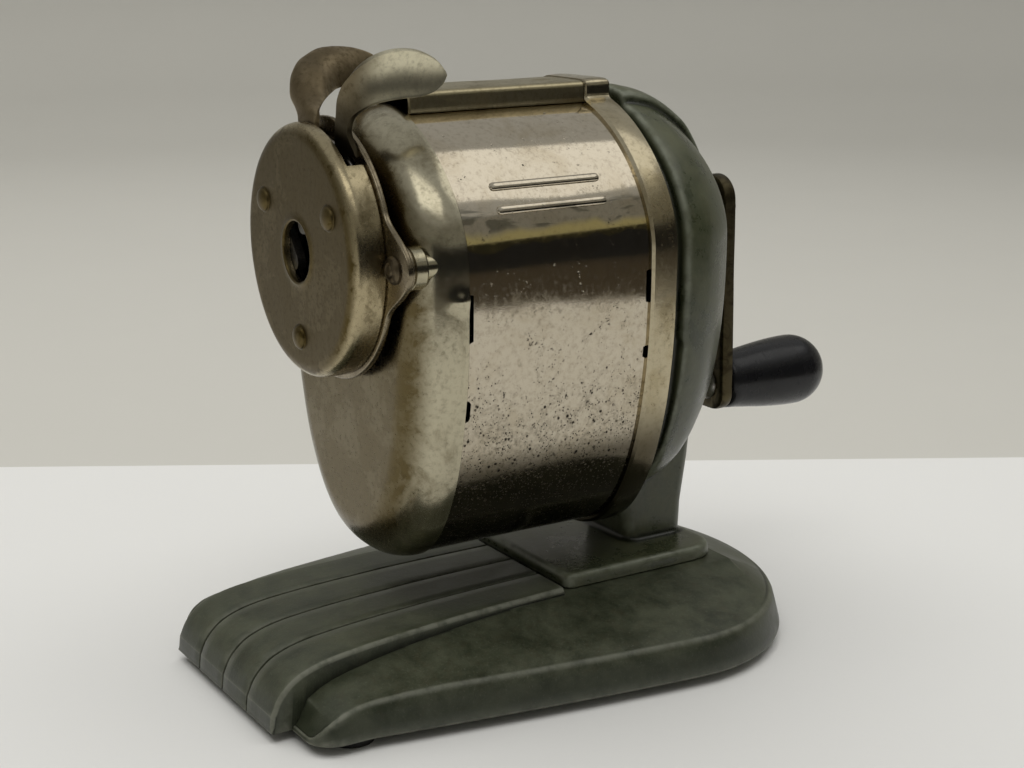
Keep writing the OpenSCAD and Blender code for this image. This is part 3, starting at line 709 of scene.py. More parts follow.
def receptacle_band():
    """Mirror-bright wrapper of the drum, tucked under the cap and the ring, with open slits at both."""
    loop = egg(BAND_INSET)
    front = SEAM_Y - BAND_TUCK + SLIT_DEEP * in_slits(loop[:, 1], FRONT_SLITS)
    back = RING_Y + BAND_TUCK - SLIT_DEEP * in_slits(loop[:, 1], BACK_SLITS)
    rings = []
    for t in np.linspace(0, 1, 48):
        ring = raise_xz(loop, 0)
        ring[:, 1] = front + (back - front) * t
        rings.append(ring)
    band = loft("receptacle_band_skin", rings, capped=False)
    orient(band)
    dent(band, 22, 0.07, 11)
    dent(band, 7, 0.012, 5)
    band = apply_modifiers(band, ("SOLIDIFY", {"thickness": 0.5 * MM, "offset": -1}))
    return finish_piece(band, "receptacle", band_nickel, ["receptacle_band"], full=1.5, blur=1)


def band_trim():
    """Two plain raised bars on each side of the band, with round ends."""
    low, high = span("band_trim")
    half, rise, end_r = 0.85, 0.62, 0.9
    turns = np.linspace(0, 1.5, 300)
    heights = egg_at(turns, BAND_INSET)[:, 1]
    across = np.linspace(0, math.pi, 13)
    beads = []
    for side in (-1, 1):
        for z in (low.z + 0.8, high.z - 0.8):
            turn = np.interp(z, heights, turns)
            here, ahead = egg_at(np.array([turn, turn + 0.01]), BAND_INSET)
            along = (ahead - here) / np.linalg.norm(ahead - here)
            out = np.array([along[1], -along[0]])
            rings = []
            for t in np.linspace(0, 1, 60):
                near_end = min(t, 1 - t) * (high.y - low.y)
                grow = math.sqrt(max(0.02, 1 - max(0, 1 - near_end / end_r) ** 2))
                reach, peak = along * half * grow, rise * grow
                flat = [here + reach * math.cos(a) + out * (peak * math.sin(a) ** 0.7 - 0.05) for a in across]
                flat += [here + reach * k - out * 0.3 for k in (-1, 1)]
                rings.append(raise_xz(np.array(flat) * [side, 1], low.y + (high.y - low.y) * t))
            beads.append(loft("bead", rings))
    trim = merge("band_trim_bars", *beads)
    return finish_piece(trim, "receptacle", band_nickel, ["band_trim"], full=2)


def saddle_loop(inset, half, top, corner, ease):
    """The egg outline with a square step in its top, for the ring that passes over the bar."""
    foot = math.acos((half / (DRUM_W - inset)) ** (EGG_UPPER / 2))
    around = egg_at(np.linspace(math.pi - foot, 2 * math.pi + foot, 420), inset)
    rise = np.linspace(around[-1][1], top - corner, 10)[1:]
    right = [(half, z) for z in rise] + arc((half - corner, top - corner), corner, 0, 90, 8)[1:]
    left = [(-x, z) for x, z in reversed(right)]
    across = [(x, top) for x in np.linspace(half - corner, corner - half, 20)[1:-1]]
    loop = np.array([*around, *right, *across, *left])
    return soften(loop, ease)


def rear_ring():
    """Rounded ring behind the band, stepped over the top bar."""
    outer = saddle_loop(-0.8, BAR_W + 0.55, BAR_TOP + 0.5, 1.3, 8)
    inner = saddle_loop(1.0, BAR_W + 0.05, BAR_TOP + 0.05, 1.0, 0)
    width, edge, crown = RING_BACK - RING_Y, 0.45, 0.22
    rings = [raise_xz(inner, RING_Y)]
    for t in np.linspace(0, 1, 13):
        y = RING_Y + width * t
        near = min(t, 1 - t) * width
        round_off = edge * (1 - math.sqrt(max(0, 1 - max(0, 1 - near / edge) ** 2)))
        hollow = round_off + crown * (2 * t - 1) ** 2
        rings.append(raise_xz(inset_loop(outer, hollow), y))
    rings.append(raise_xz(inner, RING_BACK))
    ring = loft("rear_ring_body", rings, closed=True)
    orient(ring)
    dent(ring, 10, 0.08, 21)
    return finish_piece(ring, "receptacle", ring_nickel, ["rear_ring"], full=0.9)


def top_bar():
    """Folded bar along the top of the drum."""
    wall, round_r = 1.0, 1.1
    foot = float(egg_at(np.array([math.acos((BAR_W / DRUM_W) ** (EGG_UPPER / 2))]), 0.3)[0, 1])
    right = [(BAR_W, foot), (BAR_W, foot + 1.2)]
    right += arc((BAR_W - round_r, BAR_TOP - round_r), round_r, 0, 90, 7)
    top = [(x, BAR_TOP + 0.12 * (1 - (x / BAR_W) ** 2)) for x in np.linspace(BAR_W - 2, 2 - BAR_W, 9)]
    left = [(-x, z) for x, z in reversed(right)]
    outer = [*right, *top, *left]
    inner = [(x * (BAR_W - wall) / BAR_W, z - wall if z > foot + 1.3 else z) for x, z in reversed(outer)]
    loop = np.array([*outer, *inner])
    rings = [raise_xz(loop, y) for y in np.linspace(bar_low.y, bar_high.y, 40)]
    bar = loft("top_bar_channel", rings)
    orient(bar)
    bar = apply_modifiers(bar, bevel(0.22, 50))
    dent(bar, 8, 0.08, 31)
    return finish_piece(bar, "receptacle", bar_nickel, ["top_bar"], full=0.9)


def bar_rivets():
    """Low round rivet heads on the bar."""
    low, high = span("bar_rivets")
    profile = [(0.01, 0.22), (0.9, 0.2), (1.6, 0.13), (2.05, 0.02), (2.1, -0.3), (0.01, -0.3)]
    upright = Matrix.Rotation(math.pi / 2, 4, "X")
    heads = []
    for y in (low.y + 2.1, high.y - 2.1):
        head = lathe("head", profile, 0, 0, steps=32)
        head.data.transform(Matrix.Translation(Vector((0, y, BAR_TOP + 0.1)) * MM) @ upright)
        heads.append(head)
    rivets = merge("bar_rivet_heads", *heads)
    return finish_piece(rivets, "receptacle", bar_nickel, ["bar_rivets"], full=0.9)


def rod_pair(name, profile, steps, closed=False):
    """The same turned piece about both guide rods."""
    return merge(name, *[lathe("turned", profile, side * ROD_X, steps=steps, closed=closed)
                         for side in (-1, 1)])


def rod_bushings():
    """Turned guides of the two rods, staked into the cap."""
    profile = behind(BUSH_FRONT, (2.1, 0), (3.5, 0), (3.9, 0.35), (3.95, 2.4), (3.7, 2.75), (2.6, 2.8))
    profile += behind(BUSH_BACK, (2.6, -0.4), (2.4, 0), (2.1, 0))
    bushes = rod_pair("rod_bushing_pair", profile, 64, closed=True)
    return finish_piece(bushes, "receptacle", worn_nickel, ["rod_bushings"], full=0.7)


def feed_springs():
    """Wire springs on the rods, behind the bushings."""
    wire, turns, steps, sides = 0.3, 11.5, 28, 10
    for name, side in (("right", 1), ("left", -1)):
        node = "feed_spring_" + name
        low, high = span(node)
        coil_r = (high.x - low.x) / 2 - wire
        start, end = low.y + wire, high.y - wire
        rings = []
        for a in np.linspace(0, turns * 2 * math.pi, int(turns * steps)):
            share = a / (turns * 2 * math.pi)
            rise = np.interp(share, [0, 0.09, 0.91, 1], [0, 0.018, 0.982, 1])
            spoke = np.array([math.cos(a), 0, math.sin(a)])
            centre = np.array([side * ROD_X, start + (end - start) * rise, AXIS_Z]) + coil_r * spoke
            rings.append([centre + wire * (math.cos(b) * spoke + math.sin(b) * np.array([0, 1, 0]))
                          for b in np.linspace(0, 2 * math.pi, sides, endpoint=False)])
        spring = loft(f"spring_coil_{name}", [np.array(r) for r in rings])
        finish_piece(spring, "receptacle", steel, [node])
        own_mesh(spring)


# ---- chuck ----


def rim_cutter(from_a, to_a, y0, y1):
    """A sector across the dial's rim, between two angles from straight up towards +X."""
    inner_r, outer_r = 19, 30
    turn = np.radians(np.linspace(to_a, from_a, 16))
    outer = np.stack([outer_r * np.sin(turn), AXIS_Z + outer_r * np.cos(turn)], 1)
    inner = np.stack([inner_r * np.sin(turn[::-1]), AXIS_Z + inner_r * np.cos(turn[::-1])], 1)
    loop = np.vstack([outer, inner])
    return loft("cutter", [raise_xz(loop, y0), raise_xz(loop, y1)])


def dial():
    """Deep-drawn round cap of the chuck, with a rolled pencil hole and three raised pivots."""
    wall, face_wall = 0.9, 1.2
    round_x, round_y = 2.9, 2.5
    shoulder = (DIAL_R - round_x, DIAL_Y + round_y)
    profile = behind(DIAL_Y, (HOLE_R, face_wall), (HOLE_R, 0.15), (HOLE_R + 0.1, -0.12),
                     (HOLE_R + 0.45, -0.25), (HOLE_R + 0.85, -0.12), (HOLE_R + 1.3, 0))
    profile += [(r, DIAL_Y) for r in np.linspace(HOLE_R + 2.2, DIAL_R - round_x - 0.6, 22)]
    profile += arc(shoulder, (round_x, round_y), -90, 0, 16)
    profile += [(DIAL_R, y) for y in np.linspace(DIAL_Y + round_y + 0.4, PLATE_Y - 0.3, 6)]
    profile += [(DIAL_R - 0.25, PLATE_Y - 0.02), (DIAL_R - wall, PLATE_Y - 0.02)]
    profile += [(DIAL_R - wall, DIAL_Y + round_y)]
    profile += arc(shoulder, (round_x - wall, round_y - face_wall), 0, -90, 6)
    profile += [(r, DIAL_Y + face_wall) for r in (18, 12)]
    body = lathe("dial_cap_shell", profile, steps=240, closed=True)
    orient(body)
    dent(body, 12, 0.07, 41)
    combine(body, rim_cutter(-16.5, 43, DIAL_Y + 2.9, PLATE_Y + 1), "DIFFERENCE")
    head = [(0.01, DIAL_Y - 1.15)]
    head += [(2.35 * math.sin(t), DIAL_Y - 1.15 * math.cos(t) ** 0.85)
             for t in np.radians(np.linspace(8, 84, 10))]
    head += behind(DIAL_Y, (2.55, -0.03), (2.6, 0.5), (0.01, 0.5))
    rivets = [lathe("pivot", head, PIVOT_R * math.cos(a), AXIS_Z + PIVOT_R * math.sin(a), steps=48)
              for a in np.radians(PIVOT_ANGLES)]
    dial_piece = merge("dial_cap_body", body, *rivets)
    # full=0.45 lets the ridge marks rub the rounded shoulder bright: wear, and partly a painted highlight
    return finish_piece(dial_piece, "chuck", dial_nickel, ["dial_cap"], full=0.45, blur=3)


def plate_loop(count=480):
    """Outline of the chuck plate: round, flared into an ear at each side."""
    round_r, ear_r, ear_a = DIAL_R + 0.9, ROD_X + 5.2, 24.0
    turn = np.linspace(0, 2 * math.pi, count, endpoint=False)
    from_side = np.degrees(np.abs((turn + math.pi / 2) % math.pi - math.pi / 2))
    flare = (0.5 * (1 + np.cos(np.pi * np.clip(from_side / ear_a, 0, 1)))) ** 1.17
    r = round_r + (ear_r - round_r) * flare
    return np.stack([r * np.cos(turn), AXIS_Z + r * np.sin(turn)], 1)


def chuck_plate():
    """Plate behind the dial, with a collar for each guide rod."""
    back = PLATE_Y + PLATE_T
    outline = plate_loop()
    plate = slab("plate", outline, PLATE_Y, back, 0.35, circle(0, AXIS_Z, 7.25, len(outline)))
    profile = behind(back, (2.0, -0.5), (4.45, -0.5)) + behind(COLLAR_BACK, (4.45, -0.3), (4.15, 0), (2.0, 0))
    whole = merge("chuck_plate_body", plate, rod_pair("collars", profile, 64, closed=True))
    return finish_piece(whole, "chuck", plate_nickel, ["chuck_plate"], full=0.8)


def guide_rods():
    """Two rods with riveted heads in front and stops behind."""
    low, high = span("guide_rods")
    profile = behind(low.y, (0.01, -0.1), (0.8, -0.05), (1.1, 0.25), (1.5, 0.1), (2.2, 0.3), (2.6, 0.8))
    profile += behind(PLATE_Y, (2.6, 0), (2.0, 0.05)) + behind(high.y, (2.0, -0.3), (1.8, 0), (0.01, 0))
    rods = rod_pair("guide_rod_pair", profile, 48)
    finish_piece(rods, "chuck", rod_steel, ["guide_rods"], full=0.8)
    low, high = span("rod_stops")
    profile = behind(low.y, (2.05, 0), (2.6, 0), (2.8, 0.3))
    profile += behind(high.y, (2.8, -0.4), (2.3, 0), (0.01, 0)) + behind(low.y, (0.01, 0.1))
    stops = rod_pair("rod_stop_pair", profile, 48)
    finish_piece(stops, "chuck", steel, ["rod_stops"], full=0.8)


def guide_tube():
    """Rolled tube with a bead, which leads the pencil to the cutters."""
    outer, inner, bead_r, bead_y = 7.2, 6.2, 8.0, -47
    profile = behind(tube_low.y, (inner, 0), (outer, 0))
    profile += behind(bead_y, (outer, 0), (bead_r, 0), (bead_r, 0.5), (outer, 0.7))
    profile += behind(tube_high.y, (outer, -0.5), (outer - 0.3, 0), (inner + 0.2, 0), (inner, -0.4))
    tube = lathe("guide_tube_body", profile, steps=96, closed=True)
    return finish_piece(tube, "chuck", dark_steel, ["guide_tube"], full=0.8)


def spline(points, count):
    """A smooth line through points, with count steps."""
    p = np.asarray(points, float)
    p = np.vstack([2 * p[0] - p[1], p, 2 * p[-1] - p[-2]])
    made = []
    for u in np.linspace(0, len(points) - 1, count):
        i = min(int(u), len(points) - 2)
        t = u - i
        a, b, c, d = p[i : i + 4]
        square, cube = 2 * a - 5 * b + 4 * c - d, 3 * b - a - 3 * c + d
        made.append(0.5 * (2 * b + (c - a) * t + square * t * t + cube * t**3))
    return np.array(made)


def bevel(width, angle):
    """Settings of a bevel on edges sharper than an angle."""
    return "BEVEL", {"width": width * MM, "segments": 2, "limit_method": "ANGLE",
                     "angle_limit": math.radians(angle)}


def wing(name, body, material, y0, upper, lower, dish):
    """A chuck wing: a ring inside the dial and a spoon-like thumb leaf that grows out of it.

    The leaf is spanned between its upper and lower edge, lines of (x, y behind y0, z above the axis),
    and bellies out by dish between them.
    """
    across, thick = 19, 1.0
    inner_r, outer_r = 8.4, 20.6
    origin = np.array([0, y0, AXIS_Z])
    a = resample(spline(upper, 240), 90, closed=False) + origin
    b = resample(spline(lower, 240), 90, closed=False) + origin
    share = np.linspace(0, 1, across)
    rows = a[:, None] + (b - a)[:, None] * share[None, :, None]
    along, over = np.gradient(rows, axis=0), np.gradient(rows, axis=1)
    normal = np.cross(along, over)
    normal /= np.linalg.norm(normal, axis=2, keepdims=True)
    width = np.linalg.norm(b - a, axis=1)
    growth = np.clip(np.linspace(-0.25, 2.4, len(rows)), 0, 1) * np.clip(width / 9, 0, 1) ** 2
    growth = growth[:, None] * (1 - (2 * share - 1) ** 2)[None, :]
    rows += normal * (dish * growth)[:, :, None]
    sheet = build("sheet", rows.reshape(-1, 3), grid_faces(len(rows), across, closed_count=False))
    orient(sheet)
    sheet = apply_modifiers(sheet, ("SOLIDIFY", {"thickness": thick * MM, "offset": 0}), bevel(0.25, 60))
    profile = behind(y0, (inner_r, 0.05), (outer_r, 0.05), (outer_r, 0.9), (inner_r, 0.9))
    ring = lathe("ring", profile, steps=128, closed=True)
    whole = merge(name, sheet, ring)
    return finish_piece(whole, body, material, full=0.8)


RIGHT_UPPER = [(8.3, 0.5, 18.7), (8.5, 0.5, 23.0), (9.2, 0.5, 25.8), (9.9, 0.5, 28.8), (12.3, 0.6, 31.8),
               (15.2, 1.9, 34.7), (17.0, 4.4, 36.6), (17.5, 8.1, 37.5), (17.5, 12.4, 37.2),
               (17.2, 16.3, 35.6), (17.0, 18.2, 33.6), (16.9, 18.6, 32.6)]
RIGHT_LOWER = [(14.5, 1.7, 18.7), (13.2, 1.0, 22.0), (12.9, 1.0, 23.9), (13.7, 1.5, 25.8),
               (15.4, 2.6, 27.2), (16.3, 5.3, 28.3), (16.5, 9.5, 28.8), (16.5, 12.8, 28.9),
               (16.6, 16.0, 29.6), (16.8, 17.8, 30.9), (16.9, 18.5, 32.0)]
LEFT_UPPER = [(-5.8, 0.9, 18.3), (-5.5, 1.0, 23.7), (-6.8, 1.2, 25.8), (-8.8, 1.1, 27.9),
              (-9.8, 1.5, 29.7), (-10.6, 2.2, 31.6), (-11.4, 3.8, 33.7), (-11.9, 5.6, 34.8),
              (-12.3, 8.1, 35.9), (-12.5, 10.9, 36.2), (-12.5, 13.6, 36.1), (-12.3, 16.2, 35.7),
              (-11.9, 19.1, 34.7), (-11.5, 20.9, 33.3)]
LEFT_LOWER = [(2.4, 0.8, 18.3), (2.0, 0.9, 23.3), (1.2, 1.6, 25.4), (0.0, 2.5, 26.3), (-2.0, 4.2, 27.2),
              (-4.0, 5.9, 28.0), (-5.6, 7.4, 28.5), (-7.0, 8.8, 28.9), (-8.0, 10.2, 29.1),
              (-8.8, 12.6, 29.5), (-9.5, 14.8, 29.6), (-10.2, 17.3, 30.0), (-10.9, 19.6, 30.7),
              (-11.3, 20.9, 31.9)]


def wings():
    """The two thumb wings that open the jaws."""
    right = wing("wing_right_sheet", "right_wing", wing_sheen_and_shade, RIGHT_WING_Y,
                 RIGHT_UPPER, RIGHT_LOWER, 0.8)
    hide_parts("wing_right")
    left = wing("wing_left_sheet", "left_wing", wing_dull, LEFT_WING_Y,
                LEFT_UPPER, LEFT_LOWER, -1.7)
    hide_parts("wing_left")


# ---- gear case ----

# (share of the depth, inset of the outline, its lowest height) from the front of the dome to its back
DOME_MERIDIAN = [(0.107, 1.9, 27.4), (0.115, 1.3, 27.2), (0.128, 1.0, 27.2), (0.16, 0.97, 27.2),
                 (0.22, 1.15, 27.5), (0.34, 2.0, 27.8), (0.446, 3.5, 28), (0.546, 5.5, 29),
                 (0.642, 7.9, 30), (0.715, 11.0, 32), (0.784, 14.8, 35), (0.832, 18.7, 37.4),
                 (0.868, 22.6, 39)]
DOME_LINE = [(RING_BACK + DOME_DEEP * share, inset, low) for share, inset, low in DOME_MERIDIAN]


def dome():
    """Hollow egg-ended bell, from its cavity and its front edge to the boss."""
    cavity = ((4.4, 25.0), (16, 25.0), (16, 18.0), (18, 18.0), (18, 14.0), (22, 14.0), (22, DOME_Y))
    boss = behind(CASE_BACK, (8.0, -2.6), (8.0, -0.6), (7.4, 0), (4.6, 0), (4.5, -1))
    step = 0.6 * np.clip((AXIS_Z - 22 - egg()[:, 1]) / 0.5, 0, 1)
    rings = [hoop(radius, y, EGG_POINTS) for radius, y in cavity]
    rings.append(raise_xz(egg(3.2, 27.5), DOME_Y))
    for y, inset, low in spline(DOME_LINE, 70):
        ring = raise_xz(egg(inset, low), y)
        ring[:, 1] = np.maximum(ring[:, 1], DOME_Y + step)
        rings.append(ring)
    rings += [hoop(radius, y, EGG_POINTS) for radius, y in boss]
    return loft("dome", rings, closed=True)


def spine():
    """Flat raised rib over the top of the dome."""
    proud, least, across = 1.9, 0.95, 21
    xs = np.linspace(-BAR_W, BAR_W, across)
    rings = []
    for y, inset, _ in spline(DOME_LINE, 70):
        inset = min(inset, least + 0.75 * (inset - least) + 0.25 * inset) if y > DOME_Y + 3 else least
        half, tall = DRUM_W - inset + proud, DRUM_TOP - DRUM_MID - inset + proud
        top = DRUM_MID + tall * (1 - (np.abs(xs) / half) ** EGG_UPPER) ** (1 / EGG_UPPER)
        top -= 0.5 * np.clip((np.abs(xs) - BAR_W + 0.8) / 0.8, 0, 1) ** 2
        back = proud * (y - DOME_Y) / (CASE_BACK - DOME_Y)
        outer = np.stack([xs, np.full(across, y + back), top], 1)
        inner = outer[::-1] * [1, 1, 0] + [0, -3.5 * (y - DOME_Y) / DOME_DEEP, 0]
        inner[:, 2] = np.maximum(top[::-1] - 5, AXIS_Z)
        rings.append(np.vstack([outer, inner]))
    return loft("spine", rings)


def rounded_box_loop(x_half, y0, y1, front, back):
    """A rectangle in X and Y with round corners; front and back are their (radius, points)."""
    loop = []
    for side, y, inward, corner, start in ((1, y0, 1, front, -90), (1, y1, -1, back, 0),
                                           (-1, y1, -1, back, 90), (-1, y0, 1, front, 180)):
        r, points = corner
        loop += arc((side * (x_half - r), y + inward * r), r, start, start + 90, points)
    return np.array(loop)


def raise_xy(loop, z):
    """A loop drawn in X and Y, placed at z."""
    return np.column_stack([loop, np.full(len(loop), z)])


def column():
    """Tapered pillar between the flange and the dome."""
    corner = (2.4, 8)
    sections = ((DECK_Z + 0.6, 14.6, 29.7, 8.9), (18.2, 14.9, 29.2, 8.5), (24, 13.8, 29.6, 8.4),
                (34, 13, 31.2, 8.5), (44, 13, 32.4, 8.5), (54, 13, 31.4, 8.5), (64, 13, 28, 8.5))
    return loft("column", [raise_xy(rounded_box_loop(half, y0, y1, corner, corner), z)
                           for z, y0, y1, half in sections])


def flange():
    """Foot of the casting, square in front and round behind."""
    loop = rounded_box_loop(FLANGE_W, FLANGE_FRONT, FLANGE_BACK, (1.5, 8), (6, 14))
    edge = ((0, 0.2), (0.3, 0), (2.2, 0.15), (2.75, 0.45), (3.0, 1.0))
    return loft("flange", [raise_xy(inset_loop(loop, inset), DECK_Z + up) for up, inset in edge])


def register_lip():
    """Lip of the casting that the receptacle closes over."""
    outer, inner = egg(3.4, DRUM_LOW + 0.2), egg(5.2, DRUM_LOW + 0.2)
    front, back = 7, DOME_Y + 0.6
    return loft("lip", [raise_xz(outer, front), raise_xz(outer, back),
                        raise_xz(inner, back), raise_xz(inner, front)], closed=True)


def gear_case():
    """The whole casting, its parts grown together with small fillets."""
    parts = [dome(), spine(), column(), flange(), register_lip()]
    for part in parts:
        orient(part)
    case = merge("gear_case_casting", *parts)
    case = apply_modifiers(case, ("REMESH", {"mode": "VOXEL", "voxel_size": 0.42 * MM}),
                           ("SMOOTH", {"factor": 0.5, "iterations": 7}))
    return finish_piece(case, "frame", case_enamel, ["gear_case"], sharp=60, full=0.4, blur=3)


# ---- base ----

FENDER_FRONT = -70.5
FENDER_W = 35.3
FENDER_Y = -60.0
WIDEST_Y = 10.5
CREASE_Z = 9.6


def base_plan(count=520):
    """Outline of the skirt in X and Y, counter-clockwise."""
    right = [(x, FENDER_FRONT) for x in np.linspace(0, FENDER_W - 5, 20)]
    right += arc((FENDER_W - 5, FENDER_FRONT + 6), (5, 6), -90, 0, 14)[1:]
    for y in np.linspace(FENDER_Y, WIDEST_Y, 40):
        share = (WIDEST_Y - y) / (WIDEST_Y - FENDER_Y)
        right.append((BASE_W - (BASE_W - FENDER_W) * share**1.25, y))
    right += arc((0, WIDEST_Y), (BASE_W, BASE_BACK - WIDEST_Y), 2, 90, 50)
    loop = right + [(-x, y) for x, y in reversed(right[1:-1])]
    return soften(resample(loop, count), 6)


def inner_height(y):
    """Height of the fender where it meets the side of the platform."""
    return np.interp(y, [FENDER_FRONT, -69.8, -68.6, -67, -64.5, -62, -58, -54, -48, -41, -30, -20],
                     [BASE_Z + 0.8, 4.6, 6.1, 7.4, 8.8, 9.7, 10.7, 11.4, 12.3, 13.0, 13.9, DECK_Z])


def outer_height(y):
    """Height of the crease along the outside of the fender."""
    return np.interp(y, [FENDER_FRONT, -70, -69, -67.5, -65, -62, -58, -52, -45],
                     [BASE_Z + 0.7, 4.0, 5.3, 6.4, 7.5, 8.3, 8.9, 9.35, CREASE_Z])


def fenders():
    """Skirt and sloping deck either side of the striped platform, as a stack of outlines."""
    plan = base_plan()
    crease = outer_height(plan[:, 1])
    share = (crease - BASE_Z) / (CREASE_Z - BASE_Z)
    outward = plan - inset_loop(plan, 1)
    skirt = [(0, 0.5), (0.04, 0.12), (0.1, 0.0), (0.35, 0.45), (0.62, 0.95),
             (0.84, 1.4), (0.93, 1.75), (0.98, 2.2), (1.0, 2.8)]
    rings = []
    for up, inset in skirt:
        ring = plan - outward * (inset * (0.2 + 0.8 * share))[:, None]
        rings.append(np.column_stack([ring, BASE_Z + (crease - BASE_Z) * up]))
    rim = rings[-1][:, :2]
    deck = np.stack([np.clip(rim[:, 0], -21, 21), np.clip(rim[:, 1], FENDER_FRONT + 3.5, 32)], 1)
    for t in np.linspace(0, 1, 26)[1:]:
        flat = rim + (deck - rim) * t
        top = crease + (inner_height(flat[:, 1]) - crease) * np.clip(t, 0, 1) ** 0.86
        rings.append(np.column_stack([flat, np.maximum(top, crease)]))
    for narrow in (0.5, 0.02):
        flat = deck * [narrow, 1]
        rings.append(np.column_stack([flat, inner_height(flat[:, 1]) - 0.02]))
    return loft("base_casting", rings)


def platform():
    """The nose and the four stripes, with narrow grooves between them."""
    facet = [(BASE_NOSE, BASE_Z + 0.02), (BASE_NOSE + 0.05, BASE_Z + 1.2), (BASE_NOSE + 0.3, BASE_Z + 3.1)]
    shape = [(0.35, 10.55), (0.9, 9.3), (1.6, 7.9), (2.9, 6.3), (5, 4.6), (7.5, 3.45), (10.5, 2.6),
             (14.5, 1.95), (21, 1.35), (28.5, 0.9), (35.5, 0.6), (41.5, 0.35), (52, 0.15), (65.5, 0)]
    sweep = spline([(BASE_NOSE + back, STRIPE_Z - below) for back, below in shape], 300)
    line = np.vstack([resample(facet, 12, closed=False), resample(sweep, 100, closed=False)])
    groove = [(-0.45, 0), (-0.36, 0.05), (-0.3, 0.3), (-0.28, 0.8), (0, 0.9),
              (0.28, 0.8), (0.3, 0.3), (0.36, 0.05), (0.45, 0)]
    edge_r = 0.9
    turns = np.radians(np.linspace(90, 0, 6))
    edge = [(edge_r * math.sin(a), edge_r - edge_r * math.cos(a)) for a in turns]
    rings = []
    for i, (y, z) in enumerate(line):
        ahead = line[min(i + 1, len(line) - 1)] - line[max(i - 1, 0)]
        normal = np.array([-ahead[1], ahead[0]]) / np.linalg.norm(ahead)
        half = 23.4 - 3.4 * (y - BASE_NOSE + 1) / 75.5
        section = [(-half + edge_r - in_x, depth) for in_x, depth in edge]
        for k in range(4):
            middle_x = -half + half * (k + 0.5) / 2
            section += [(middle_x - half / 8, 0), (middle_x, 0), (middle_x + half / 8, 0)]
            if k < 3:
                section += [(-half + half * (k + 1) / 2 + dx, depth) for dx, depth in groove]
        section += [(half - edge_r + in_x, depth) for in_x, depth in reversed(edge)]
        fade = min(1.0, max(0.05, (z - BASE_Z) / 1.2))
        top = [(x, y - normal[0] * depth * fade, max(BASE_Z + 0.01, z - normal[1] * depth * fade))
               for x, depth in section]
        foot_y = max(y, BASE_NOSE + 0.3)
        rings.append(np.array([(-half - 0.35, foot_y, BASE_Z), *top, (half + 0.35, foot_y, BASE_Z)]))
    back = rings[-1].copy()
    back[1:-1, 1] += 0.8
    back[1:-1, 2] -= 2.2
    return loft("platform", [*rings, back])


def base():
    """Cast base: fenders and striped platform in one."""
    casting = combine(fenders(), platform(), "UNION")
    return finish_piece(casting, "frame", base_enamel, ["base"], sharp=40, full=0.5, blur=1)


# ---- crank ----


def arm_loop(count=240):
    """Outline of the crank arm: round at the shaft, squarer with soft corners at the handle."""
    top_r, corner = 5.3, 4.0
    low, half = arm_low.z + corner, ARM_W - corner
    loop = arc((0, arm_high.z - top_r), top_r, 0, 180, 40)
    loop += arc((-half, low), corner, 180, 270, 16) + arc((half, low), corner, 270, 360, 16)
    return resample(loop, count)


def crank_arm():
    """Pressed channel arm, open to the back."""
    outer = arm_loop()
    depth = ARM_BACK - ARM_Y
    section = [(1.1, 0), (0.55, 0.08), (0.15, 0.35), (0, 0.9)]
    section += behind(depth, (0, -0.35), (0.12, -0.08), (0.4, 0), (1.0, 0), (1.25, -0.15), (1.35, -0.5))
    section += [(1.4, 1.7), (1.6, 1.35), (2.0, 1.2)]
    rings = [raise_xz(inset_loop(outer, inset), ARM_Y + rise) for inset, rise in section]
    arm = loft("crank_arm_channel", rings)
    orient(arm)
    dent(arm, 9, 0.08, 51)
    return finish_piece(arm, "crank", arm_steel, ["crank_arm"], full=0.7)


def crank_washer():
    """Washer between the dome's boss and the nut."""
    low, high = span("crank_washer")
    r = high.x
    profile = behind(low.y, (3.0, 0), (r - 0.1, 0), (r, 0.15))
    profile += behind(high.y, (r, -0.15), (r - 0.2, 0), (3.0, 0))
    washer = lathe("crank_washer_ring", profile, steps=64, closed=True)
    return finish_piece(washer, "crank", steel, ["crank_washer"], full=0.8)


def crank_nut():
    """Hexagon nut with its corners chamfered, closed by the end of the thread."""
    front, (_, high) = span("crank_washer")[1].y, span("crank_nut")
    points = 72
    hexagon = resample(circle(0, AXIS_Z, high.x, 6), points)
    corner = np.linalg.norm(hexagon - [0, AXIS_Z], axis=1)
    flat_top = raise_xz(hexagon, high.y - 0.6)
    flat_top[:, 1] -= np.clip(corner - 0.89 * high.x, 0, 1) * 0.6
    bore = [0, AXIS_Z] + (hexagon - [0, AXIS_Z]) * (3.3 / corner)[:, None]
    rings = [raise_xz(hexagon, front), flat_top, raise_xz(bore, high.y - 0.55)]
    rings += [hoop(r, y, points) for r, y in behind(high.y, (2.7, -0.5), (2.6, -0.2), (2.3, 0), (0.02, 0))]
    return finish_piece(loft("crank_nut_body", rings), "crank", steel, ["crank_nut"], full=0.9)


def handle_pin():
    """Pin of the handle: a riveted head before the arm and a shoulder behind it."""
    low, high = span("handle_pin")
    profile = behind(low.y, (0.01, 0), (1.6, 0.05), (2.8, 0.45), (3.4, 1.1))
    profile += behind(ARM_Y, (3.4, 0.02), (3.4, 1.3), (3.6, 1.4), (3.6, 2.9), (3.3, 3.1), (2.0, 3.15))
    profile += [(2.0, high.y), (0.01, high.y)]
    pin = lathe("handle_pin_body", profile, 0, CRANK_END_Z, steps=64)
    return finish_piece(pin, "crank", steel, ["handle_pin"], full=0.8)


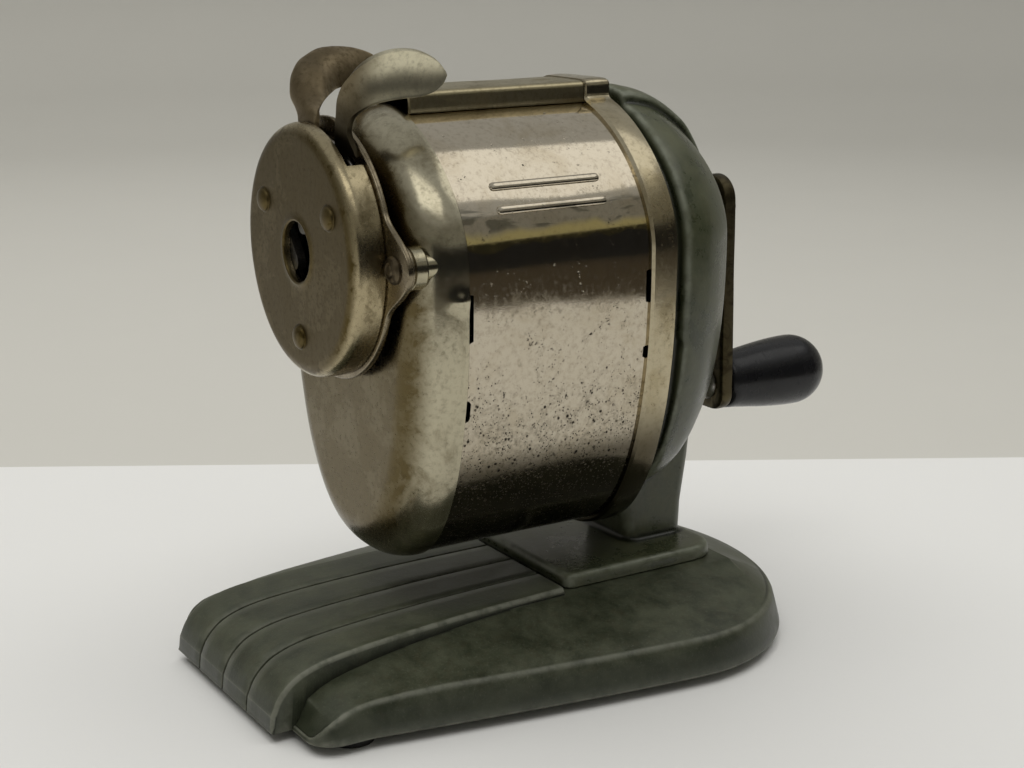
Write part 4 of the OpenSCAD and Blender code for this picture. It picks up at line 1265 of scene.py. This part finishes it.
def crank_shaft():
    """Shaft, with the shoulder that carries the arm."""
    low, high = span("crank_shaft")
    shoulder_y, shoulder_r = case_high.y + 0.3, 4.8
    profile = behind(low.y, (0.01, 0), (2.7, 0), (3.0, 0.4))
    profile += behind(shoulder_y, (3.0, 0), (shoulder_r - 0.4, 0), (shoulder_r, 0.4))
    profile += behind(ARM_Y, (shoulder_r, -0.4), (shoulder_r - 0.3, -0.02), (3.0, 0))
    profile += [(3.0, high.y), (0.01, high.y)]
    shaft = lathe("crank_shaft_body", profile, steps=64)
    return finish_piece(shaft, "crank", steel, ["crank_shaft"], full=0.8)


def handle_knob():
    """Pear-shaped turning handle."""
    start, end = knob_low.y, knob_high.y - 2.0
    length, neck = end - start, 6.1
    profile = behind(start, (2.1, 2), (2.1, 0), (5.0, 0), (5.7, 0.3), (neck, 1.3))
    for t in np.linspace(0.06, 0.96, 18):
        radius = neck + (KNOB_R - neck) * math.sin(t * math.pi / 2) ** 1.25
        profile.append((radius, start + 1.4 + t * (length - 9.2)))
    profile += [(KNOB_R * math.cos(a), end - KNOB_R + KNOB_R * math.sin(a))
                for a in np.radians(np.linspace(2, 89.5, 24))]
    profile += [(0.01, end)]
    knob = lathe("handle_knob_body", profile, 0, CRANK_END_Z, steps=128)
    return finish_piece(knob, "handle", black_gloss, ["handle_knob"], sharp=50)


# ---- CAD nodes that are shown as they are ----


def dress_nodes():
    """Materials of the CAD nodes that keep their own mesh."""
    looks = ((foot_rubber, "base_feet"), (bronze, "shaft_bush"), (cutter_steel, "cutter_right cutter_left"),
             (steel, "foot_screws flange_screws thrust_washer cutter_pins wing_spring jaw_pins"),
             (dark_steel, "ring_gear cutter_carrier jaw_top_right jaw_top_left jaw_bottom"))
    for material, nodes in looks:
        for node in nodes.split():
            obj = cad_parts[node]
            obj.data.materials.clear()
            obj.data.materials.append(material)


# ---- stage, light and camera ----

CAMERA_SENSOR = 36.0
CAMERA_LENS = 62.19140625
CAMERA_AT = Vector((299.8, -190.0, 144.0)) * MM
CAMERA_AZIMUTH = math.radians(58.79)
CAMERA_PITCH = math.radians(14.47)
CAMERA_ROLL = math.radians(-0.55)
TABLE_REACH = 471.0
TABLE_HALF = 1500
TABLE_THICK = 6.0
SCREEN_R = 300
SCREEN_TOP = 180
WARM_WHITE = (1.0, 0.985, 0.95)
ROOM_STRENGTH = 0.52


def camera():
    """The camera at the place and angle worked out from the object's own shapes."""
    a, e = CAMERA_AZIMUTH, CAMERA_PITCH
    back = Vector((math.sin(a) * math.cos(e), -math.cos(a) * math.cos(e), math.sin(e)))
    right = (-back).cross(Vector((0, 0, 1))).normalized()
    up = right.cross(-back)
    tilted_right = right * math.cos(CAMERA_ROLL) + up * math.sin(CAMERA_ROLL)
    tilted_up = up * math.cos(CAMERA_ROLL) - right * math.sin(CAMERA_ROLL)
    data = bpy.data.cameras.new("camera")
    data.sensor_width = CAMERA_SENSOR
    data.lens = CAMERA_LENS
    data.clip_start, data.clip_end = 0.01, 20
    cam = bpy.data.objects.new("camera", data)
    turned = Matrix((tilted_right, tilted_up, back)).transposed().to_4x4()
    cam.matrix_world = Matrix.Translation(CAMERA_AT) @ turned
    scene.collection.objects.link(cam)
    scene.camera = cam


def plain(name, colour, roughness=0.8):
    """Matt surface of the surroundings, with a faint mottle."""
    f = Finish(name)
    tint = f.mix(f.times(f.noise(60, 3, 0.5), 0.25), colour, tuple(k * 0.92 for k in colour))
    f.bump((f.noise(1.5, 2, 0.5), 0.03))
    return f.done(tint, roughness)


def table_and_wall():
    """White table with a straight far edge, in front of a plain grey surround."""
    forward = np.array([-math.sin(CAMERA_AZIMUTH), math.cos(CAMERA_AZIMUTH)])
    across = np.array([forward[1], -forward[0]])
    start = np.array(CAMERA_AT[:2]) / MM
    corners = ((TABLE_REACH, -TABLE_HALF), (TABLE_REACH, TABLE_HALF), (-TABLE_HALF, TABLE_HALF),
               (-TABLE_HALF, -TABLE_HALF))
    loop = np.array([start + forward * f + across * s for f, s in corners])
    table = loft("table_top", [raise_xy(loop, -TABLE_THICK), raise_xy(loop, 0.0)])
    orient(table)
    table.data.materials.append(plain("table_white", (0.75, 0.75, 0.74)))
    bowl = ((10, -60), (1400, -60), (1650, -30), (1800, 60), (1860, 250), (1860, 1500))
    wall = loft("surround", [raise_xy(circle(0, 0, radius, 96), z) for radius, z in bowl], capped=False)
    wall.data.polygons.foreach_set("use_smooth", [True] * len(wall.data.polygons))
    wall.data.materials.append(plain("wall_grey", (0.60, 0.59, 0.55)))


def dark_screen():
    """Curved dark screen on the camera's side that only the metal's reflections see."""
    steps = 60
    turn = np.radians(np.linspace(-46, 72, steps))
    line = np.stack([SCREEN_R * np.cos(turn), SCREEN_R * np.sin(turn)], 1)
    rings = [raise_xy(line, z) for z in (1, SCREEN_TOP)]
    screen = build("dark_screen", np.concatenate(rings), grid_faces(2, steps, closed_count=False))
    f = Finish("screen_dark")
    low = f.ease(f.axis(2), 45, 28)
    screen.data.materials.append(f.done(f.mix(low, (0.012, 0.012, 0.013), (0.075, 0.06, 0.04)), 0.9))
    screen.visible_camera = False
    screen.visible_diffuse = False
    screen.visible_shadow = False


def area_light(name, place, target, size, power, in_reflections=True):
    """A soft rectangular light at a place, turned to a target, that the camera doesn't see."""
    data = bpy.data.lights.new(name, "AREA")
    data.shape = "RECTANGLE"
    data.size, data.size_y = size[0] * MM, size[1] * MM
    data.energy = power
    data.color = WARM_WHITE
    light = bpy.data.objects.new(name, data)
    light.location = Vector(place) * MM
    light.rotation_euler = (Vector(target) - Vector(place)).to_track_quat("-Z", "Y").to_euler()
    light.visible_camera = False
    light.visible_glossy = in_reflections
    scene.collection.objects.link(light)


def lights():
    """One large soft light above, and two weaker ones that give the metal its highlights."""
    area_light("light_top", (-350, 0, 1000), (-350, 0, 50), (1900, 1500), 11.3, in_reflections=False)
    area_light("light_front", (420, -300, 900), (0, 0, 80), (700, 360), 0.85)
    area_light("light_back", (230, 520, 920), (0, 0, 100), (560, 420), 0.56)
    world = bpy.data.worlds.new("room")
    world.use_nodes = True
    background = world.node_tree.nodes["Background"]
    background.inputs["Color"].default_value = (0.80, 0.80, 0.78, 1)
    background.inputs["Strength"].default_value = ROOM_STRENGTH
    scene.world = world
    scene.view_settings.view_transform = "Standard"


# ---- everything ----

camera()
front_cap()
receptacle_band()
band_trim()
rear_ring()
top_bar()
bar_rivets()
rod_bushings()
feed_springs()
dial()
chuck_plate()
guide_rods()
guide_tube()
wings()
gear_case()
base()
crank_arm()
crank_washer()
crank_nut()
handle_pin()
crank_shaft()
handle_knob()
dress_nodes()
table_and_wall()
dark_screen()
lights()
